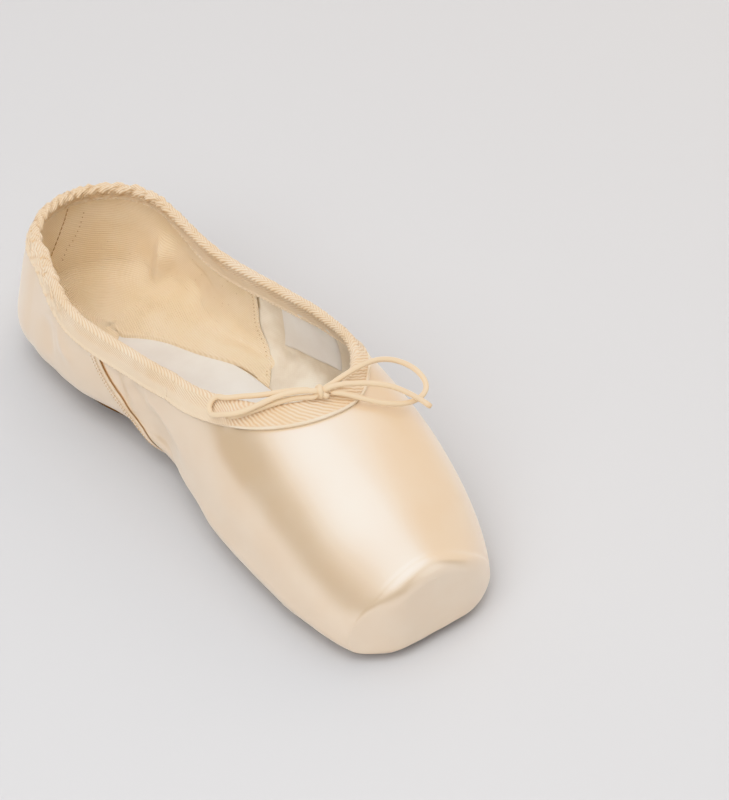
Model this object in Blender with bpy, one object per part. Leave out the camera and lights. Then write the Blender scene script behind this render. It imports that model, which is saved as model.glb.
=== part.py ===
"""A satin pointe shoe, empty and standing on its sole, with its toe towards -Y."""
import math

import bmesh
import bpy
import numpy as np
from mathutils import Matrix

# Driving sizes, in metres
LENGTH = 0.232
HEEL_RADIUS = 0.030
TOE_EDGE = 0.0060
TOE_UNDERCUT = 0.45
GAP = 0.0003

# The last: one row for each section, from the middle of the heel's round to the toe
LAST_COLUMNS = (
    "from_heel", "half_width", "widest", "crown", "under", "low_power", "high_power", "sideways", "falls_left",
)
LAST = (
    (0.030, 0.0329, 0.0213, 0.0660, 0.0026, 2.6, 2.5, 0.0000, 0.00),
    (0.060, 0.0343, 0.0200, 0.0725, 0.0042, 2.6, 2.5, -0.0032, 0.00),
    (0.095, 0.0352, 0.0190, 0.0718, 0.0062, 2.5, 2.4, 0.0030, 0.00),
    (0.125, 0.0378, 0.0180, 0.0672, 0.0045, 2.6, 2.3, 0.0040, 0.00),
    (0.155, 0.0402, 0.0172, 0.0603, 0.0027, 3.0, 2.3, 0.0026, 0.00),
    (0.185, 0.0390, 0.0155, 0.0520, 0.0026, 3.2, 2.3, 0.0004, 0.06),
    (0.210, 0.0350, 0.0115, 0.0428, 0.0026, 3.2, 2.2, -0.0024, 0.15),
    (0.2268, 0.0290, 0.0085, 0.0345, 0.0025, 3.0, 2.0, -0.0040, 0.24),
)

# Where the box's crown begins to fall towards the wearer's left, and over what width
FALL_START = -0.010
FALL_WIDTH = 0.034
# The slanting facets on both sides of the toe's platform: distance from the middle, and slope
FACET_RIGHT = (0.0195, 0.73)
FACET_LEFT = (0.0045, 0.45)
FACET_ROUND = 0.002

# The collar's edge seen from the side, as far as the throat begins
COLLAR_COLUMNS = ("from_heel", "height")
COLLAR = (
    (0.000, 0.0560),
    (0.025, 0.0532),
    (0.060, 0.0481),
    (0.095, 0.0459),
    (0.125, 0.0510),
)
HEEL_RIM = 0.75
THROAT_START = 0.115
THROAT_FRONT = 0.164
THROAT_POWER = 2.3

# The sole's outline, as half widths, as far as its rounded front begins
SOLE_COLUMNS = ("from_heel", "half_width")
SOLE = (
    (0.000, 0.0235),
    (0.030, 0.0232),
    (0.055, 0.0242),
    (0.080, 0.0228),
    (0.100, 0.0218),
    (0.125, 0.0240),
    (0.150, 0.0280),
    (0.172, 0.0290),
)
SOLE_ROUND_START = 0.172
SOLE_ROUND_POWER = 2.2
SOLE_FRONT = 0.207
SOLE_THICK = 0.0022
SOLE_SKIVED = 0.0014
SOLE_MARGIN = 0.0070
SOLE_SETTLED = 0.0005

INSOLE_THICK = 0.0018
INSOLE_GAP = 0.0004
INSOLE_INSET = 0.0022

# The wall: satin and lining at the collar, and the stiffened box at the toe
QUARTER_WALL = 0.0015
BOX_WALL = 0.0028
BOX_BEGINS = 0.138
BOX_IS_FULL = 0.172

# The side seam runs forward from the collar and down to the sole
SEAM_TOP = 0.0755
SEAM_SWEEP = 0.0445
SEAM_REACH = 1.1
SEAM_STEP = 0.0007
SEAM_BAND = 0.0065
SEAM_RAMP = 0.0025
SEAM_DROP = 0.0006
SEAM_TUCKS_IN = 0.82
SEAM_FADE = 0.08
SEAM_RISES_AT = 2.2
SEAM_LEAN = 0.004

# The tape folded over the collar
TAPE = 0.0009
TAPE_GAP = 0.0005
TAPE_WIDTH = 0.0080
TAPE_FOLD = 0.0011

# The elastic drawstring, tied in a bow on the tape: its knot, and each route away from it
CORD = 0.0019
CORD_STEP = 0.0034
KNOT_AT = (-0.0028, -0.0492, 0.0622)
KNOT_SIZE = (0.0052, 0.0054, 0.0054)
KNOT_TURN = -18.0
LOOP_RIGHT = (
    (-0.0058, -0.0489, 0.0636),
    (-0.0082, -0.0471, 0.0637),
    (-0.0109, -0.0455, 0.0635),
    (-0.0140, -0.0439, 0.0630),
    (-0.0172, -0.0426, 0.0623),
    (-0.0205, -0.0414, 0.0612),
    (-0.0239, -0.0399, 0.0598),
    (-0.0269, -0.0381, 0.0583),
    (-0.0293, -0.0357, 0.0569),
    (-0.0311, -0.0326, 0.0554),
    (-0.0320, -0.0294, 0.0535),
    (-0.0318, -0.0263, 0.0521),
    (-0.0309, -0.0239, 0.0526),
    (-0.0292, -0.0231, 0.0543),
    (-0.0275, -0.0241, 0.0558),
    (-0.0267, -0.0264, 0.0566),
    (-0.0252, -0.0288, 0.0574),
    (-0.0230, -0.0312, 0.0583),
    (-0.0209, -0.0338, 0.0592),
    (-0.0186, -0.0364, 0.0601),
    (-0.0155, -0.0391, 0.0610),
    (-0.0120, -0.0415, 0.0617),
    (-0.0084, -0.0442, 0.0622),
    (-0.0052, -0.0470, 0.0625),
)
END_RIGHT = (
    (-0.0058, -0.0489, 0.0611),
    (-0.0087, -0.0468, 0.0609),
    (-0.0117, -0.0448, 0.0605),
    (-0.0150, -0.0432, 0.0600),
    (-0.0193, -0.0413, 0.0590),
    (-0.0234, -0.0390, 0.0575),
    (-0.0262, -0.0369, 0.0560),
    (-0.0282, -0.0347, 0.0547),
    (-0.0297, -0.0321, 0.0535),
)
LOOP_LEFT = (
    (0.0004, -0.0488, 0.0625),
    (0.0029, -0.0482, 0.0623),
    (0.0058, -0.0476, 0.0622),
    (0.0096, -0.0469, 0.0621),
    (0.0135, -0.0462, 0.0618),
    (0.0174, -0.0455, 0.0612),
    (0.0213, -0.0449, 0.0604),
    (0.0250, -0.0447, 0.0594),
    (0.0285, -0.0452, 0.0582),
    (0.0316, -0.0466, 0.0569),
    (0.0341, -0.0488, 0.0555),
    (0.0355, -0.0515, 0.0544),
    (0.0359, -0.0544, 0.0534),
    (0.0354, -0.0572, 0.0525),
    (0.0339, -0.0594, 0.0517),
    (0.0315, -0.0607, 0.0511),
    (0.0283, -0.0612, 0.0509),
    (0.0247, -0.0612, 0.0514),
    (0.0205, -0.0606, 0.0526),
    (0.0158, -0.0592, 0.0544),
    (0.0117, -0.0575, 0.0564),
    (0.0083, -0.0557, 0.0582),
    (0.0052, -0.0539, 0.0598),
    (0.0025, -0.0522, 0.0608),
    (-0.0002, -0.0507, 0.0613),
)
END_LEFT = (
    (-0.0002, -0.0507, 0.0636),
    (0.0021, -0.0512, 0.0636),
    (0.0049, -0.0520, 0.0633),
    (0.0083, -0.0531, 0.0626),
    (0.0122, -0.0544, 0.0616),
    (0.0161, -0.0559, 0.0603),
    (0.0197, -0.0576, 0.0588),
    (0.0225, -0.0594, 0.0572),
    (0.0250, -0.0614, 0.0554),
    (0.0273, -0.0635, 0.0535),
    (0.0290, -0.0656, 0.0519),
    (0.0300, -0.0671, 0.0508),
)

# How finely curves are measured and divided
DENSE = 128
TOUCH = 1e-6
SLOPE_STEP = 0.0008
ARC_STEP = 0.008
UNDERSIDE_REACH = 0.98
HEEL_ROWS = 7
UPPER_ACROSS = 15
FLOOR_ACROSS = 6
LEG_STEPS = 3
FOLD_STEPS = 7

COLOURS = {
    "satin": ((0.87, 0.74, 0.58), 0.36),
    "tape": ((0.84, 0.71, 0.54), 0.85),
    "leather": ((0.36, 0.21, 0.11), 0.70),
    "sock": ((0.84, 0.82, 0.79), 0.80),
    "cord": ((0.88, 0.77, 0.62), 0.75),
}


def smooth_step(x):
    """0 to 1 with soft ends."""
    x = np.clip(x, 0.0, 1.0)
    return x * x * (3.0 - 2.0 * x)


def table_curve(rows, column, at):
    """Smooth curve through one column of a table, over its first column."""
    rows = np.asarray(rows, float)
    x, y = rows[:, 0], rows[:, column]
    step = np.diff(x)
    rise = np.diff(y) / step
    slope = np.empty_like(y)
    slope[1:-1] = (rise[:-1] * step[1:] + rise[1:] * step[:-1]) / (step[1:] + step[:-1])
    slope[0], slope[-1] = rise[0], rise[-1]
    at = np.clip(at, x[0], x[-1])
    i = np.clip(np.searchsorted(x, at, side="right") - 1, 0, len(x) - 2)
    t = (at - x[i]) / step[i]
    return (
        (2 * t**3 - 3 * t**2 + 1) * y[i]
        + (t**3 - 2 * t**2 + t) * step[i] * slope[i]
        + (3 * t**2 - 2 * t**3) * y[i + 1]
        + (t**3 - t**2) * step[i] * slope[i + 1]
    )


def last_value(name, at):
    return table_curve(LAST, LAST_COLUMNS.index(name), at)


def collar_height(from_heel):
    return table_curve(COLLAR, COLLAR_COLUMNS.index("height"), from_heel)


TIP_START = LENGTH - TOE_EDGE
STATION_END = TIP_START + TOE_EDGE * math.pi / 2
OPENING_FRONT = SOLE_FRONT - SOLE_MARGIN


def heel_turn(u):
    """Angle of a station's section: 0 along the shoe at the back of the heel, a right angle past the round."""
    return np.clip(u / HEEL_RADIUS, 0.0, 1.0) * math.pi / 2


def tip_turn(u):
    """How far a station has gone round the quarter round of the toe's edge, as an angle."""
    return np.clip((u - TIP_START) / TOE_EDGE, 0.0, math.pi / 2)


def sections(u):
    """Dense half sections of the last, from the middle of its underside to the middle of its crown.

    A station u is the distance from the heel, as far as the toe's edge starts, where it follows the
    edge's quarter round. Below HEEL_RADIUS it turns the section round the heel.
    Returns the reach from the station's middle, the height, and the share of the length so far.
    """
    turn, tip = heel_turn(u), tip_turn(u)
    inset = TOE_EDGE * (1.0 - np.cos(tip))
    at = np.clip(u, HEEL_RADIUS, TIP_START)
    side = last_value("half_width", at)
    wide = HEEL_RADIUS * np.cos(turn) ** 2 + side * np.sin(turn) ** 2 - inset
    middle = last_value("widest", at)
    crown = last_value("crown", at) - inset - middle
    under = middle - last_value("under", at) - TOE_UNDERCUT * inset
    low = 2.0 / last_value("low_power", at)
    high = 2.0 / last_value("high_power", at)
    angle = np.linspace(0.0, math.pi / 2, DENSE)[None, :]
    sin, cos = np.sin(angle), np.clip(np.cos(angle), 0.0, 1.0)
    wide, middle, crown, under, low, high = (v[:, None] for v in (wide, middle, crown, under, low, high))
    reach = np.concatenate([wide * sin**low, wide * cos[:, 1:] ** high], 1)
    height = np.concatenate([middle - under * cos**low, middle + crown * sin[:, 1:] ** high], 1)
    length = np.hypot(np.diff(reach, axis=1), np.diff(height, axis=1)).cumsum(1)
    share = np.concatenate([np.zeros((len(u), 1)), length / length[:, -1:]], 1)
    return reach, height, share


def share_where(values, share, limit, upper):
    """The share along each section where its values cross a limit, above or below its widest place."""
    half = slice(DENSE - 1, None) if upper else slice(0, DENSE)
    values, share = values[:, half], share[:, half]
    rising = values[:, :1] < values[:, -1:]
    before = np.clip(((values < limit[:, None]) == rising).sum(1), 1, values.shape[1] - 1)
    row = np.arange(len(limit))
    a, b = values[row, before - 1], values[row, before]
    part = np.clip((limit - a) / np.where(a == b, 1.0, b - a), 0.0, 1.0)
    return share[row, before - 1] + part * (share[row, before] - share[row, before - 1])


def soft_ramp(past):
    """What is past zero, with a soft beginning."""
    part = np.clip(past + FACET_ROUND, 0.0, 2 * FACET_ROUND)
    return part * part / (4 * FACET_ROUND) + np.clip(past - FACET_ROUND, 0.0, None)


def faceted(from_heel, x):
    """Distance from the heel, held back by the facets beside the platform."""
    back = FACET_RIGHT[1] * soft_ramp(-x - FACET_RIGHT[0]) + FACET_LEFT[1] * soft_ramp(x - FACET_LEFT[0])
    return from_heel - soft_ramp(from_heel - LENGTH - FACET_ROUND + back)


def skin(side, u, q):
    """Points of the last's surface: side is +1 or -1, u the station, q the share along its section."""
    side, u, q = np.broadcast_arrays(*(np.asarray(v, float) for v in (side, u, q)))
    shape, side, u, q = u.shape, side.ravel(), u.ravel(), q.ravel()
    side = side * np.where(u < 0, -1.0, 1.0) * np.where((q > 1) | (q < 0), -1.0, 1.0)
    u, q = np.abs(u), np.where(q > 1, 2.0 - q, np.abs(q))
    reach, height, share = sections(u)
    i = np.clip((share <= q[:, None]).sum(1) - 1, 0, share.shape[1] - 2)
    row = np.arange(len(u))
    part = (q - share[row, i]) / (share[row, i + 1] - share[row, i])
    reach = reach[row, i] + part * (reach[row, i + 1] - reach[row, i])
    height = height[row, i] + part * (height[row, i + 1] - height[row, i])
    turn, tip = heel_turn(u), tip_turn(u)
    from_heel = np.clip(u, HEEL_RADIUS, TIP_START) - reach * np.cos(turn) + TOE_EDGE * np.sin(tip)
    x = side * reach * np.sin(turn) + last_value("sideways", from_heel) - PLAN_MIDDLE
    at = np.clip(u, HEEL_RADIUS, TIP_START)
    above = np.maximum(height - last_value("widest", at), 0.0)
    height = height - above * last_value("falls_left", at) * smooth_step((x - FALL_START) / FALL_WIDTH)
    return np.stack([x, LENGTH / 2 - faceted(from_heel, x), height], -1).reshape(shape + (3,))


def plan_middle():
    """Half way between the sides of the curved last, which is where x is 0."""
    at = np.linspace(HEEL_RADIUS, TIP_START, 400)
    wide, sideways = last_value("half_width", at), last_value("sideways", at)
    return ((sideways + wide).max() + (sideways - wide).min()) / 2


PLAN_MIDDLE = plan_middle()


def outward(side, u, q):
    """Unit normals of the last's surface, pointing out."""
    along = skin(side, u + SLOPE_STEP, q) - skin(side, u - SLOPE_STEP, q)
    up = skin(side, u, q + ARC_STEP) - skin(side, u, q - ARC_STEP)
    normal = np.cross(along, up) * -np.asarray(side, float)[..., None]
    return normal / np.linalg.norm(normal, axis=-1, keepdims=True)


def collar_share(u):
    """Share along the section at which the collar's edge lies; 1 in front of the throat."""
    u = np.asarray(u, float)
    reach, height, share = sections(u)
    rim_from_heel = np.clip(u, HEEL_RADIUS, None) - HEEL_RIM * HEEL_RADIUS * np.cos(heel_turn(u))
    level = collar_height(rim_from_heel)
    by_height = share_where(height, share, level, True)
    start = np.array([THROAT_START])
    reach0, height0, share0 = sections(start)
    edge0 = share_where(height0, share0, collar_height(start), True)
    half_throat = np.interp(edge0[0], share0[0], reach0[0])
    on = np.clip((u - THROAT_START) / (THROAT_FRONT - THROAT_START), 0.0, 1.0)
    by_plan = share_where(reach, share, half_throat * (1.0 - on**2) ** (1.0 / THROAT_POWER), True)
    return np.where(u <= THROAT_START, by_height, np.where(u > THROAT_FRONT - TOUCH, 1.0, by_plan))


def sole_half(u, front=SOLE_FRONT, inset=0.0):
    """Half width of the sole's outline at a station, or of an outline inset from it."""
    u = np.asarray(u, float)
    wide = table_curve(SOLE, SOLE_COLUMNS.index("half_width"), np.minimum(u, SOLE_ROUND_START)) - inset
    on = np.clip((u - SOLE_ROUND_START) / (front - SOLE_ROUND_START), 0.0, 1.0)
    return wide * np.sqrt(1.0 - on**SOLE_ROUND_POWER)


def opening_share(u):
    """Share along the section at which the opening underneath ends; 0 in front of the opening."""
    reach, height, share = sections(u)
    found = share_where(reach, share, sole_half(u, OPENING_FRONT, SOLE_MARGIN), False)
    return np.where(u > OPENING_FRONT - TOUCH, 0.0, found)


def wall(u):
    """Thickness of the upper at a station."""
    on = smooth_step((u - BOX_BEGINS) / (BOX_IS_FULL - BOX_BEGINS))
    return QUARTER_WALL + (BOX_WALL - QUARTER_WALL) * on


def seam_shift(t):
    """How far forward of its top the side seam has run, t being 0 underneath and 1 at the collar."""
    return SEAM_SWEEP * smooth_step((1.0 - t) / SEAM_REACH)


def seam_step(u, t):
    """Height of the quarter's folded edge over the vamp, just behind the side seam.

    It runs out under the tape and over the sole.
    """
    behind = SEAM_TOP + seam_shift(t) - u
    shown = smooth_step((SEAM_TUCKS_IN - t) / SEAM_FADE) * smooth_step(t / SEAM_FADE - SEAM_RISES_AT)
    return SEAM_STEP * shown * smooth_step((SEAM_BAND - behind) / SEAM_RAMP) * (behind > -TOUCH)


def easing_out(start, end, count):
    """Stations between two, after the first, drawing together towards the end."""
    return start + (end - start) * np.sin(np.linspace(0.0, math.pi / 2, count)[1:])


def station_ends():
    """Top and underside stations of each row of the upper, from the heel's middle to the toe's tip."""
    heel = [(u, u) for u in np.linspace(0.0, HEEL_RADIUS, HEEL_ROWS)]
    foot = SEAM_TOP + SEAM_SWEEP
    behind = [(HEEL_RADIUS + a * (SEAM_TOP - SEAM_BAND - HEEL_RADIUS),
               HEEL_RADIUS + a * (foot - SEAM_BAND - HEEL_RADIUS)) for a in np.linspace(0.0, 1.0, 7)[1:]]
    seam = [(SEAM_TOP + d, foot + d) for d in (SEAM_RAMP - SEAM_BAND, 0.0, SEAM_DROP)]
    last = seam[-1]
    ahead = [(last[0] + a * (THROAT_START - last[0]), last[1] + a * (THROAT_START + SEAM_LEAN - last[1]))
             for a in np.linspace(0.0, 1.0, 5)[1:]]
    throat = easing_out(THROAT_START, THROAT_FRONT, 10)
    box = np.concatenate([
        [SOLE_ROUND_START],
        easing_out(SOLE_ROUND_START, OPENING_FRONT, 6),
        np.linspace(OPENING_FRONT, TIP_START, 6)[1:],
        np.linspace(TIP_START, STATION_END, 4)[1:],
    ])
    settle = SEAM_LEAN * (THROAT_FRONT - throat) / (THROAT_FRONT - THROAT_START)
    straight = [(u, u + extra) for u, extra in zip(throat, settle)]
    return heel + behind + seam + ahead + straight + [(u, u) for u in box]


class Loft:
    """Collects faces between rows of points, giving points that meet one shared vertex."""

    def __init__(self):
        self.mesh = bmesh.new()
        self.known = {}

    def vertex(self, point):
        key = tuple(np.round(point, 7) + 0.0)
        if key not in self.known:
            self.known[key] = self.mesh.verts.new([float(c) for c in point])
        return self.known[key]

    def face(self, points):
        corners = []
        for corner in (self.vertex(p) for p in points):
            if corner not in corners:
                corners.append(corner)
        if len(corners) > 2 and self.mesh.faces.get(corners) is None:
            self.mesh.faces.new(corners)

    def sheet(self, rows, flip=False):
        """Faces between neighbouring rows of a grid of points."""
        for a, b in zip(rows[:-1], rows[1:]):
            for j in range(len(a) - 1):
                quad = (a[j], b[j], b[j + 1], a[j + 1])
                self.face(quad[::-1] if flip else quad)

    def finish(self, name, material, collection):
        bmesh.ops.recalc_face_normals(self.mesh, faces=self.mesh.faces[:])
        mesh = bpy.data.meshes.new(name)
        self.mesh.to_mesh(mesh)
        self.mesh.free()
        mesh.shade_smooth()
        mesh.set_sharp_from_angle(angle=math.radians(40))
        return place_object(name, mesh, material, collection)


def upper_grid():
    """Stations and shares of the upper's grid on one side, and the share t from edge to edge."""
    ends = np.array(station_ends())
    t = np.linspace(0.0, 1.0, UPPER_ACROSS)[None, :]
    u = ends[:, :1] + (ends[:, 1:] - ends[:, :1]) * smooth_step((1.0 - t) / SEAM_REACH)
    low = opening_share(u.ravel()).reshape(u.shape)
    high = collar_share(u.ravel()).reshape(u.shape)
    q = low + t * (high - low)
    return u, q, np.broadcast_to(t, u.shape)


def build_upper(material, collection):
    """The hollow upper: outer and inner faces of the last, joined round the collar and underneath."""
    loft = Loft()
    u, q, t = upper_grid()
    rims = []
    for side in (1.0, -1.0):
        sides = np.full_like(u, side)
        points, normals = skin(sides, u, q), outward(sides, u, q)
        outer = points + normals * seam_step(u, t)[..., None]
        inner = points - normals * wall(u)[..., None]
        loft.sheet(outer)
        loft.sheet(inner)
        tops, feet = u[:, -1], u[:, 0]
        for i in range(len(u) - 1):
            if tops[i + 1] < THROAT_FRONT + TOUCH:
                loft.face((outer[i][-1], outer[i + 1][-1], inner[i + 1][-1], inner[i][-1]))
            if feet[i + 1] < OPENING_FRONT + TOUCH:
                loft.face((outer[i][0], outer[i + 1][0], inner[i + 1][0], inner[i][0]))
        rims.append((outer[-1], inner[-1]))
    for left, right in zip(*rims):
        spine = (left + right) / 2
        spine[:, :2] = left[0, :2]
        spine[[0, -1]] = left[[0, -1]]
        for rim, side, flat in ((left, 1.0, FACET_LEFT[0]), (right, -1.0, FACET_RIGHT[0])):
            knee, past = rim.copy(), side * rim[:, 0] > flat
            knee[past, 0], knee[past, 1] = side * flat, left[0, 1]
            loft.sheet([rim, knee, spine])
    return loft.finish("upper", material, collection)


def under_height(u, reach):
    """Height of the last's underside at a reach from the middle of a station."""
    at = np.clip(u, HEEL_RADIUS, TIP_START)
    middle, half, power = last_value("widest", at), sections(u)[0].max(1), last_value("low_power", at)
    drop = middle - last_value("under", at)
    return middle - drop * (1.0 - np.clip(reach / half, 0.0, UNDERSIDE_REACH) ** power) ** (1.0 / power)


def floor_slant(u, reach):
    """How much longer a vertical line through a layer on the underside is than the layer is thick."""
    rise = under_height(u, reach + SLOPE_STEP) - under_height(u, np.maximum(reach - SLOPE_STEP, 0.0))
    return np.hypot(1.0, rise / (2 * SLOPE_STEP))


def floor_point(side, u, reach):
    """A point of the last's underside, at a reach from the middle of a station."""
    turn = heel_turn(u)
    from_heel = np.clip(u, HEEL_RADIUS, TIP_START) - reach * np.cos(turn)
    x = side * reach * np.sin(turn) + last_value("sideways", from_heel) - PLAN_MIDDLE
    return np.stack([x, LENGTH / 2 - from_heel, under_height(u, reach)], -1)


def floor_plate(name, material, collection, inset, bottom_of, top_of):
    """A plate along the underside of the last, from a bottom to a top worked out from its height."""
    loft = Loft()
    heel = np.linspace(0.0, HEEL_RADIUS, HEEL_ROWS)
    waist = np.linspace(HEEL_RADIUS, SOLE_ROUND_START, 15)[1:]
    u = np.concatenate([heel, waist, easing_out(SOLE_ROUND_START, SOLE_FRONT, 8)])
    half = sole_half(u, SOLE_FRONT, inset)
    half[-1] = 0.0
    across = np.linspace(0.0, 1.0, FLOOR_ACROSS)
    for side in (1.0, -1.0):
        rows = [], []
        for station, wide in zip(u, half):
            at = np.full(FLOOR_ACROSS, station)
            reach = wide * across
            ground, slant = floor_point(side, at, reach), floor_slant(at, reach)
            for row, height in zip(rows, (bottom_of, top_of)):
                row.append(np.column_stack([ground[:, :2], height(ground[:, 2], slant, at)]))
        low, high = np.array(rows[0]), np.array(rows[1])
        loft.sheet(low)
        loft.sheet(high)
        loft.sheet(np.stack([low[:, -1], high[:, -1]]))
    return loft.finish(name, material, collection)


def build_outsole(material, collection):
    """The leather sole: arched at the waist, sprung at the toe, flat where it stands."""
    def bottom(ground, slant, u):
        skived = smooth_step((u - SOLE_ROUND_START) / (SOLE_FRONT - SOLE_ROUND_START))
        thick = SOLE_THICK + (SOLE_SKIVED - SOLE_THICK) * skived
        return np.maximum(ground - (GAP + thick) * slant - SOLE_SETTLED, 0.0)

    def top(ground, slant, u):
        return ground - GAP * slant

    return floor_plate("outsole", material, collection, 0.0, bottom, top)


def build_insole(material, collection):
    """The sock inside, from the heel into the box."""
    def bottom(ground, slant, u):
        return ground + (wall(u) + INSOLE_GAP) * slant

    def top(ground, slant, u):
        return ground + (wall(u) + INSOLE_GAP + INSOLE_THICK) * slant

    return floor_plate("insole", material, collection, INSOLE_INSET, bottom, top)


def walk(side, u, q, away, distance, steps=4):
    """Moves places on the wall by a distance, in a direction away from the collar's edge."""
    for _ in range(steps):
        du = (skin(side, u + SLOPE_STEP, q) - skin(side, u - SLOPE_STEP, q)) / (2 * SLOPE_STEP)
        dq = (skin(side, u, q + ARC_STEP) - skin(side, u, q - ARC_STEP)) / (2 * ARC_STEP)
        normal = outward(side, u, q)
        away = away - (away * normal).sum(1)[:, None] * normal
        away /= np.linalg.norm(away, axis=1)[:, None]
        step = away * (distance / steps)[:, None]
        uu, uq, qq = (du * du).sum(1), (du * dq).sum(1), (dq * dq).sum(1)
        bu, bq = (du * step).sum(1), (dq * step).sum(1)
        area = uu * qq - uq * uq
        u, q = u + (bu * qq - bq * uq) / area, q + (bq * uu - bu * uq) / area
    return u, q, away


def collar_places():
    """Side, station and share of the places round the collar's edge, from the heel's middle and back."""
    heel = np.linspace(0.0, HEEL_RADIUS, HEEL_ROWS)
    quarter = np.linspace(HEEL_RADIUS, THROAT_START, 13)[1:]
    half = np.concatenate([heel, quarter, easing_out(THROAT_START, THROAT_FRONT, 13)])
    u = np.concatenate([half, half[-2:0:-1]])
    side = np.where(np.arange(len(u)) < len(half), 1.0, -1.0)
    return side, u, collar_share(u)


def build_binding(material, collection):
    """The tape folded over the collar, the drawstring's casing: a U-shaped section swept round it."""
    side, u, q = collar_places()
    edge, normal = skin(side, u, q), outward(side, u, q)
    along = np.roll(edge, -1, 0) - np.roll(edge, 1, 0)
    away = np.cross(normal, along)
    away /= np.linalg.norm(away, axis=1)[:, None]

    def leg(outer):
        near, far = [], []
        uu, qq, way = u, q, away
        for _ in range(LEG_STEPS):
            uu, qq, way = walk(side, uu, qq, way, np.full_like(u, TAPE_WIDTH / LEG_STEPS))
            point, face = skin(side, uu, qq), outward(side, uu, qq)
            lift = TAPE_GAP if outer else -(wall(np.abs(uu)) + TAPE_GAP)
            near.append(point + face * np.reshape(lift, (-1, 1)))
            far.append(point + face * np.reshape(lift + (TAPE if outer else -TAPE), (-1, 1)))
        return near, far

    outer_near, outer_far = leg(True)
    inner_near, inner_far = leg(False)
    thick = wall(u)
    top_near = edge + normal * TAPE_GAP - away * TAPE_GAP
    under_near = edge - normal * (thick + TAPE_GAP)[:, None] - away * TAPE_GAP
    fold = []
    for turn in np.linspace(0.0, math.pi, FOLD_STEPS):
        up = (thick / 2 + TAPE_GAP + TAPE) * math.cos(turn) - thick / 2
        fold.append(edge + normal * up[:, None] - away * (TAPE_GAP + TAPE_FOLD) * math.sin(turn))
    ring = outer_far[::-1] + fold + inner_far + inner_near[::-1] + [under_near, top_near] + outer_near
    rows = np.stack(ring + ring[:1], 1)
    loft = Loft()
    loft.sheet(np.concatenate([rows, rows[:1]]))
    return loft.finish("collar_binding", material, collection)


def build_knot(material, collection):
    """The bow's knot: a bead of wound cord, set across the drawstring's run."""
    mesh = bmesh.new()
    place = Matrix.Translation(KNOT_AT) @ Matrix.Rotation(math.radians(KNOT_TURN), 4, "Z")
    size = Matrix.Diagonal((*KNOT_SIZE, 1.0))
    bmesh.ops.create_uvsphere(mesh, u_segments=14, v_segments=8, radius=0.5, matrix=place @ size)
    data = bpy.data.meshes.new("drawstring_knot")
    mesh.to_mesh(data)
    mesh.free()
    data.shade_smooth()
    return place_object("drawstring_knot", data, material, collection)


def smooth_route(route, step):
    """Points a step apart on the natural cubic spline through a route's own points."""
    route = np.array(route)
    gaps = np.linalg.norm(np.diff(route, axis=0), axis=1)
    along = np.concatenate([[0.0], gaps.cumsum()])
    inner = np.arange(1, len(route) - 1)
    system, bend = np.eye(len(route)), np.zeros_like(route)
    system[inner, inner - 1], system[inner, inner + 1] = gaps[:-1], gaps[1:]
    system[inner, inner] = 2.0 * (gaps[:-1] + gaps[1:])
    rise = np.diff(route, axis=0) / gaps[:, None]
    bend[1:-1] = 6.0 * np.diff(rise, axis=0)
    bend = np.linalg.solve(system, bend)
    at = np.linspace(0.0, along[-1], round(along[-1] / step) + 1)
    i = np.clip(np.searchsorted(along, at, side="right") - 1, 0, len(gaps) - 1)
    gap, past = gaps[i, None], (at - along[i])[:, None]
    left = gap - past
    return (
        (bend[i] * left**3 + bend[i + 1] * past**3) / (6.0 * gap)
        + (route[i] / gap - bend[i] * gap / 6.0) * left
        + (route[i + 1] / gap - bend[i + 1] * gap / 6.0) * past
    )


def build_cord(name, route, material, collection):
    """A stretch of the drawstring: a round tube along a smooth curve through its route."""
    places = smooth_route(route, CORD_STEP)
    curve = bpy.data.curves.new(name, "CURVE")
    curve.dimensions = "3D"
    curve.bevel_depth = CORD / 2
    curve.bevel_resolution = 2
    curve.use_fill_caps = True
    spline = curve.splines.new("POLY")
    spline.points.add(len(places) - 1)
    for point, place in zip(spline.points, places):
        point.co = (*place, 1.0)
    return place_object(name, curve, material, collection)


def place_object(name, data, material, collection):
    thing = bpy.data.objects.new(name, data)
    thing.data.materials.append(material)
    collection.objects.link(thing)
    return thing


def collection_for(name):
    group = bpy.data.collections.new(name)
    bpy.context.scene.collection.children.link(group)
    return group


def plain_material(name):
    """A material with the part's colour and roughness."""
    colour, rough = COLOURS[name]
    material = bpy.data.materials.new(name)
    material.use_nodes = True
    shader = material.node_tree.nodes["Principled BSDF"]
    shader.inputs["Base Color"].default_value = (*colour, 1.0)
    shader.inputs["Roughness"].default_value = rough
    shader.inputs["Metallic"].default_value = 0.0
    return material


def main():
    for old in list(bpy.data.objects):
        bpy.data.objects.remove(old, do_unlink=True)
    shoe = collection_for("pointe_shoe")
    build_upper(plain_material("satin"), shoe)
    build_outsole(plain_material("leather"), shoe)
    build_insole(plain_material("sock"), shoe)
    build_binding(plain_material("tape"), shoe)
    cord = plain_material("cord")
    build_knot(cord, shoe)
    for name, route in (("loop_right", LOOP_RIGHT), ("end_right", END_RIGHT),
                        ("loop_left", LOOP_LEFT), ("end_left", END_LEFT)):
        build_cord("drawstring_" + name, route, cord, shoe)


main()
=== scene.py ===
"""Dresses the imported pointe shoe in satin, cotton twill, leather and elastic, in a pale studio."""

import logging
import math
from dataclasses import dataclass, field
from enum import Enum
from typing import Any, Mapping, Optional, Sequence

import bmesh
import bpy
import numpy as np
from mathutils import Matrix, Vector


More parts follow.
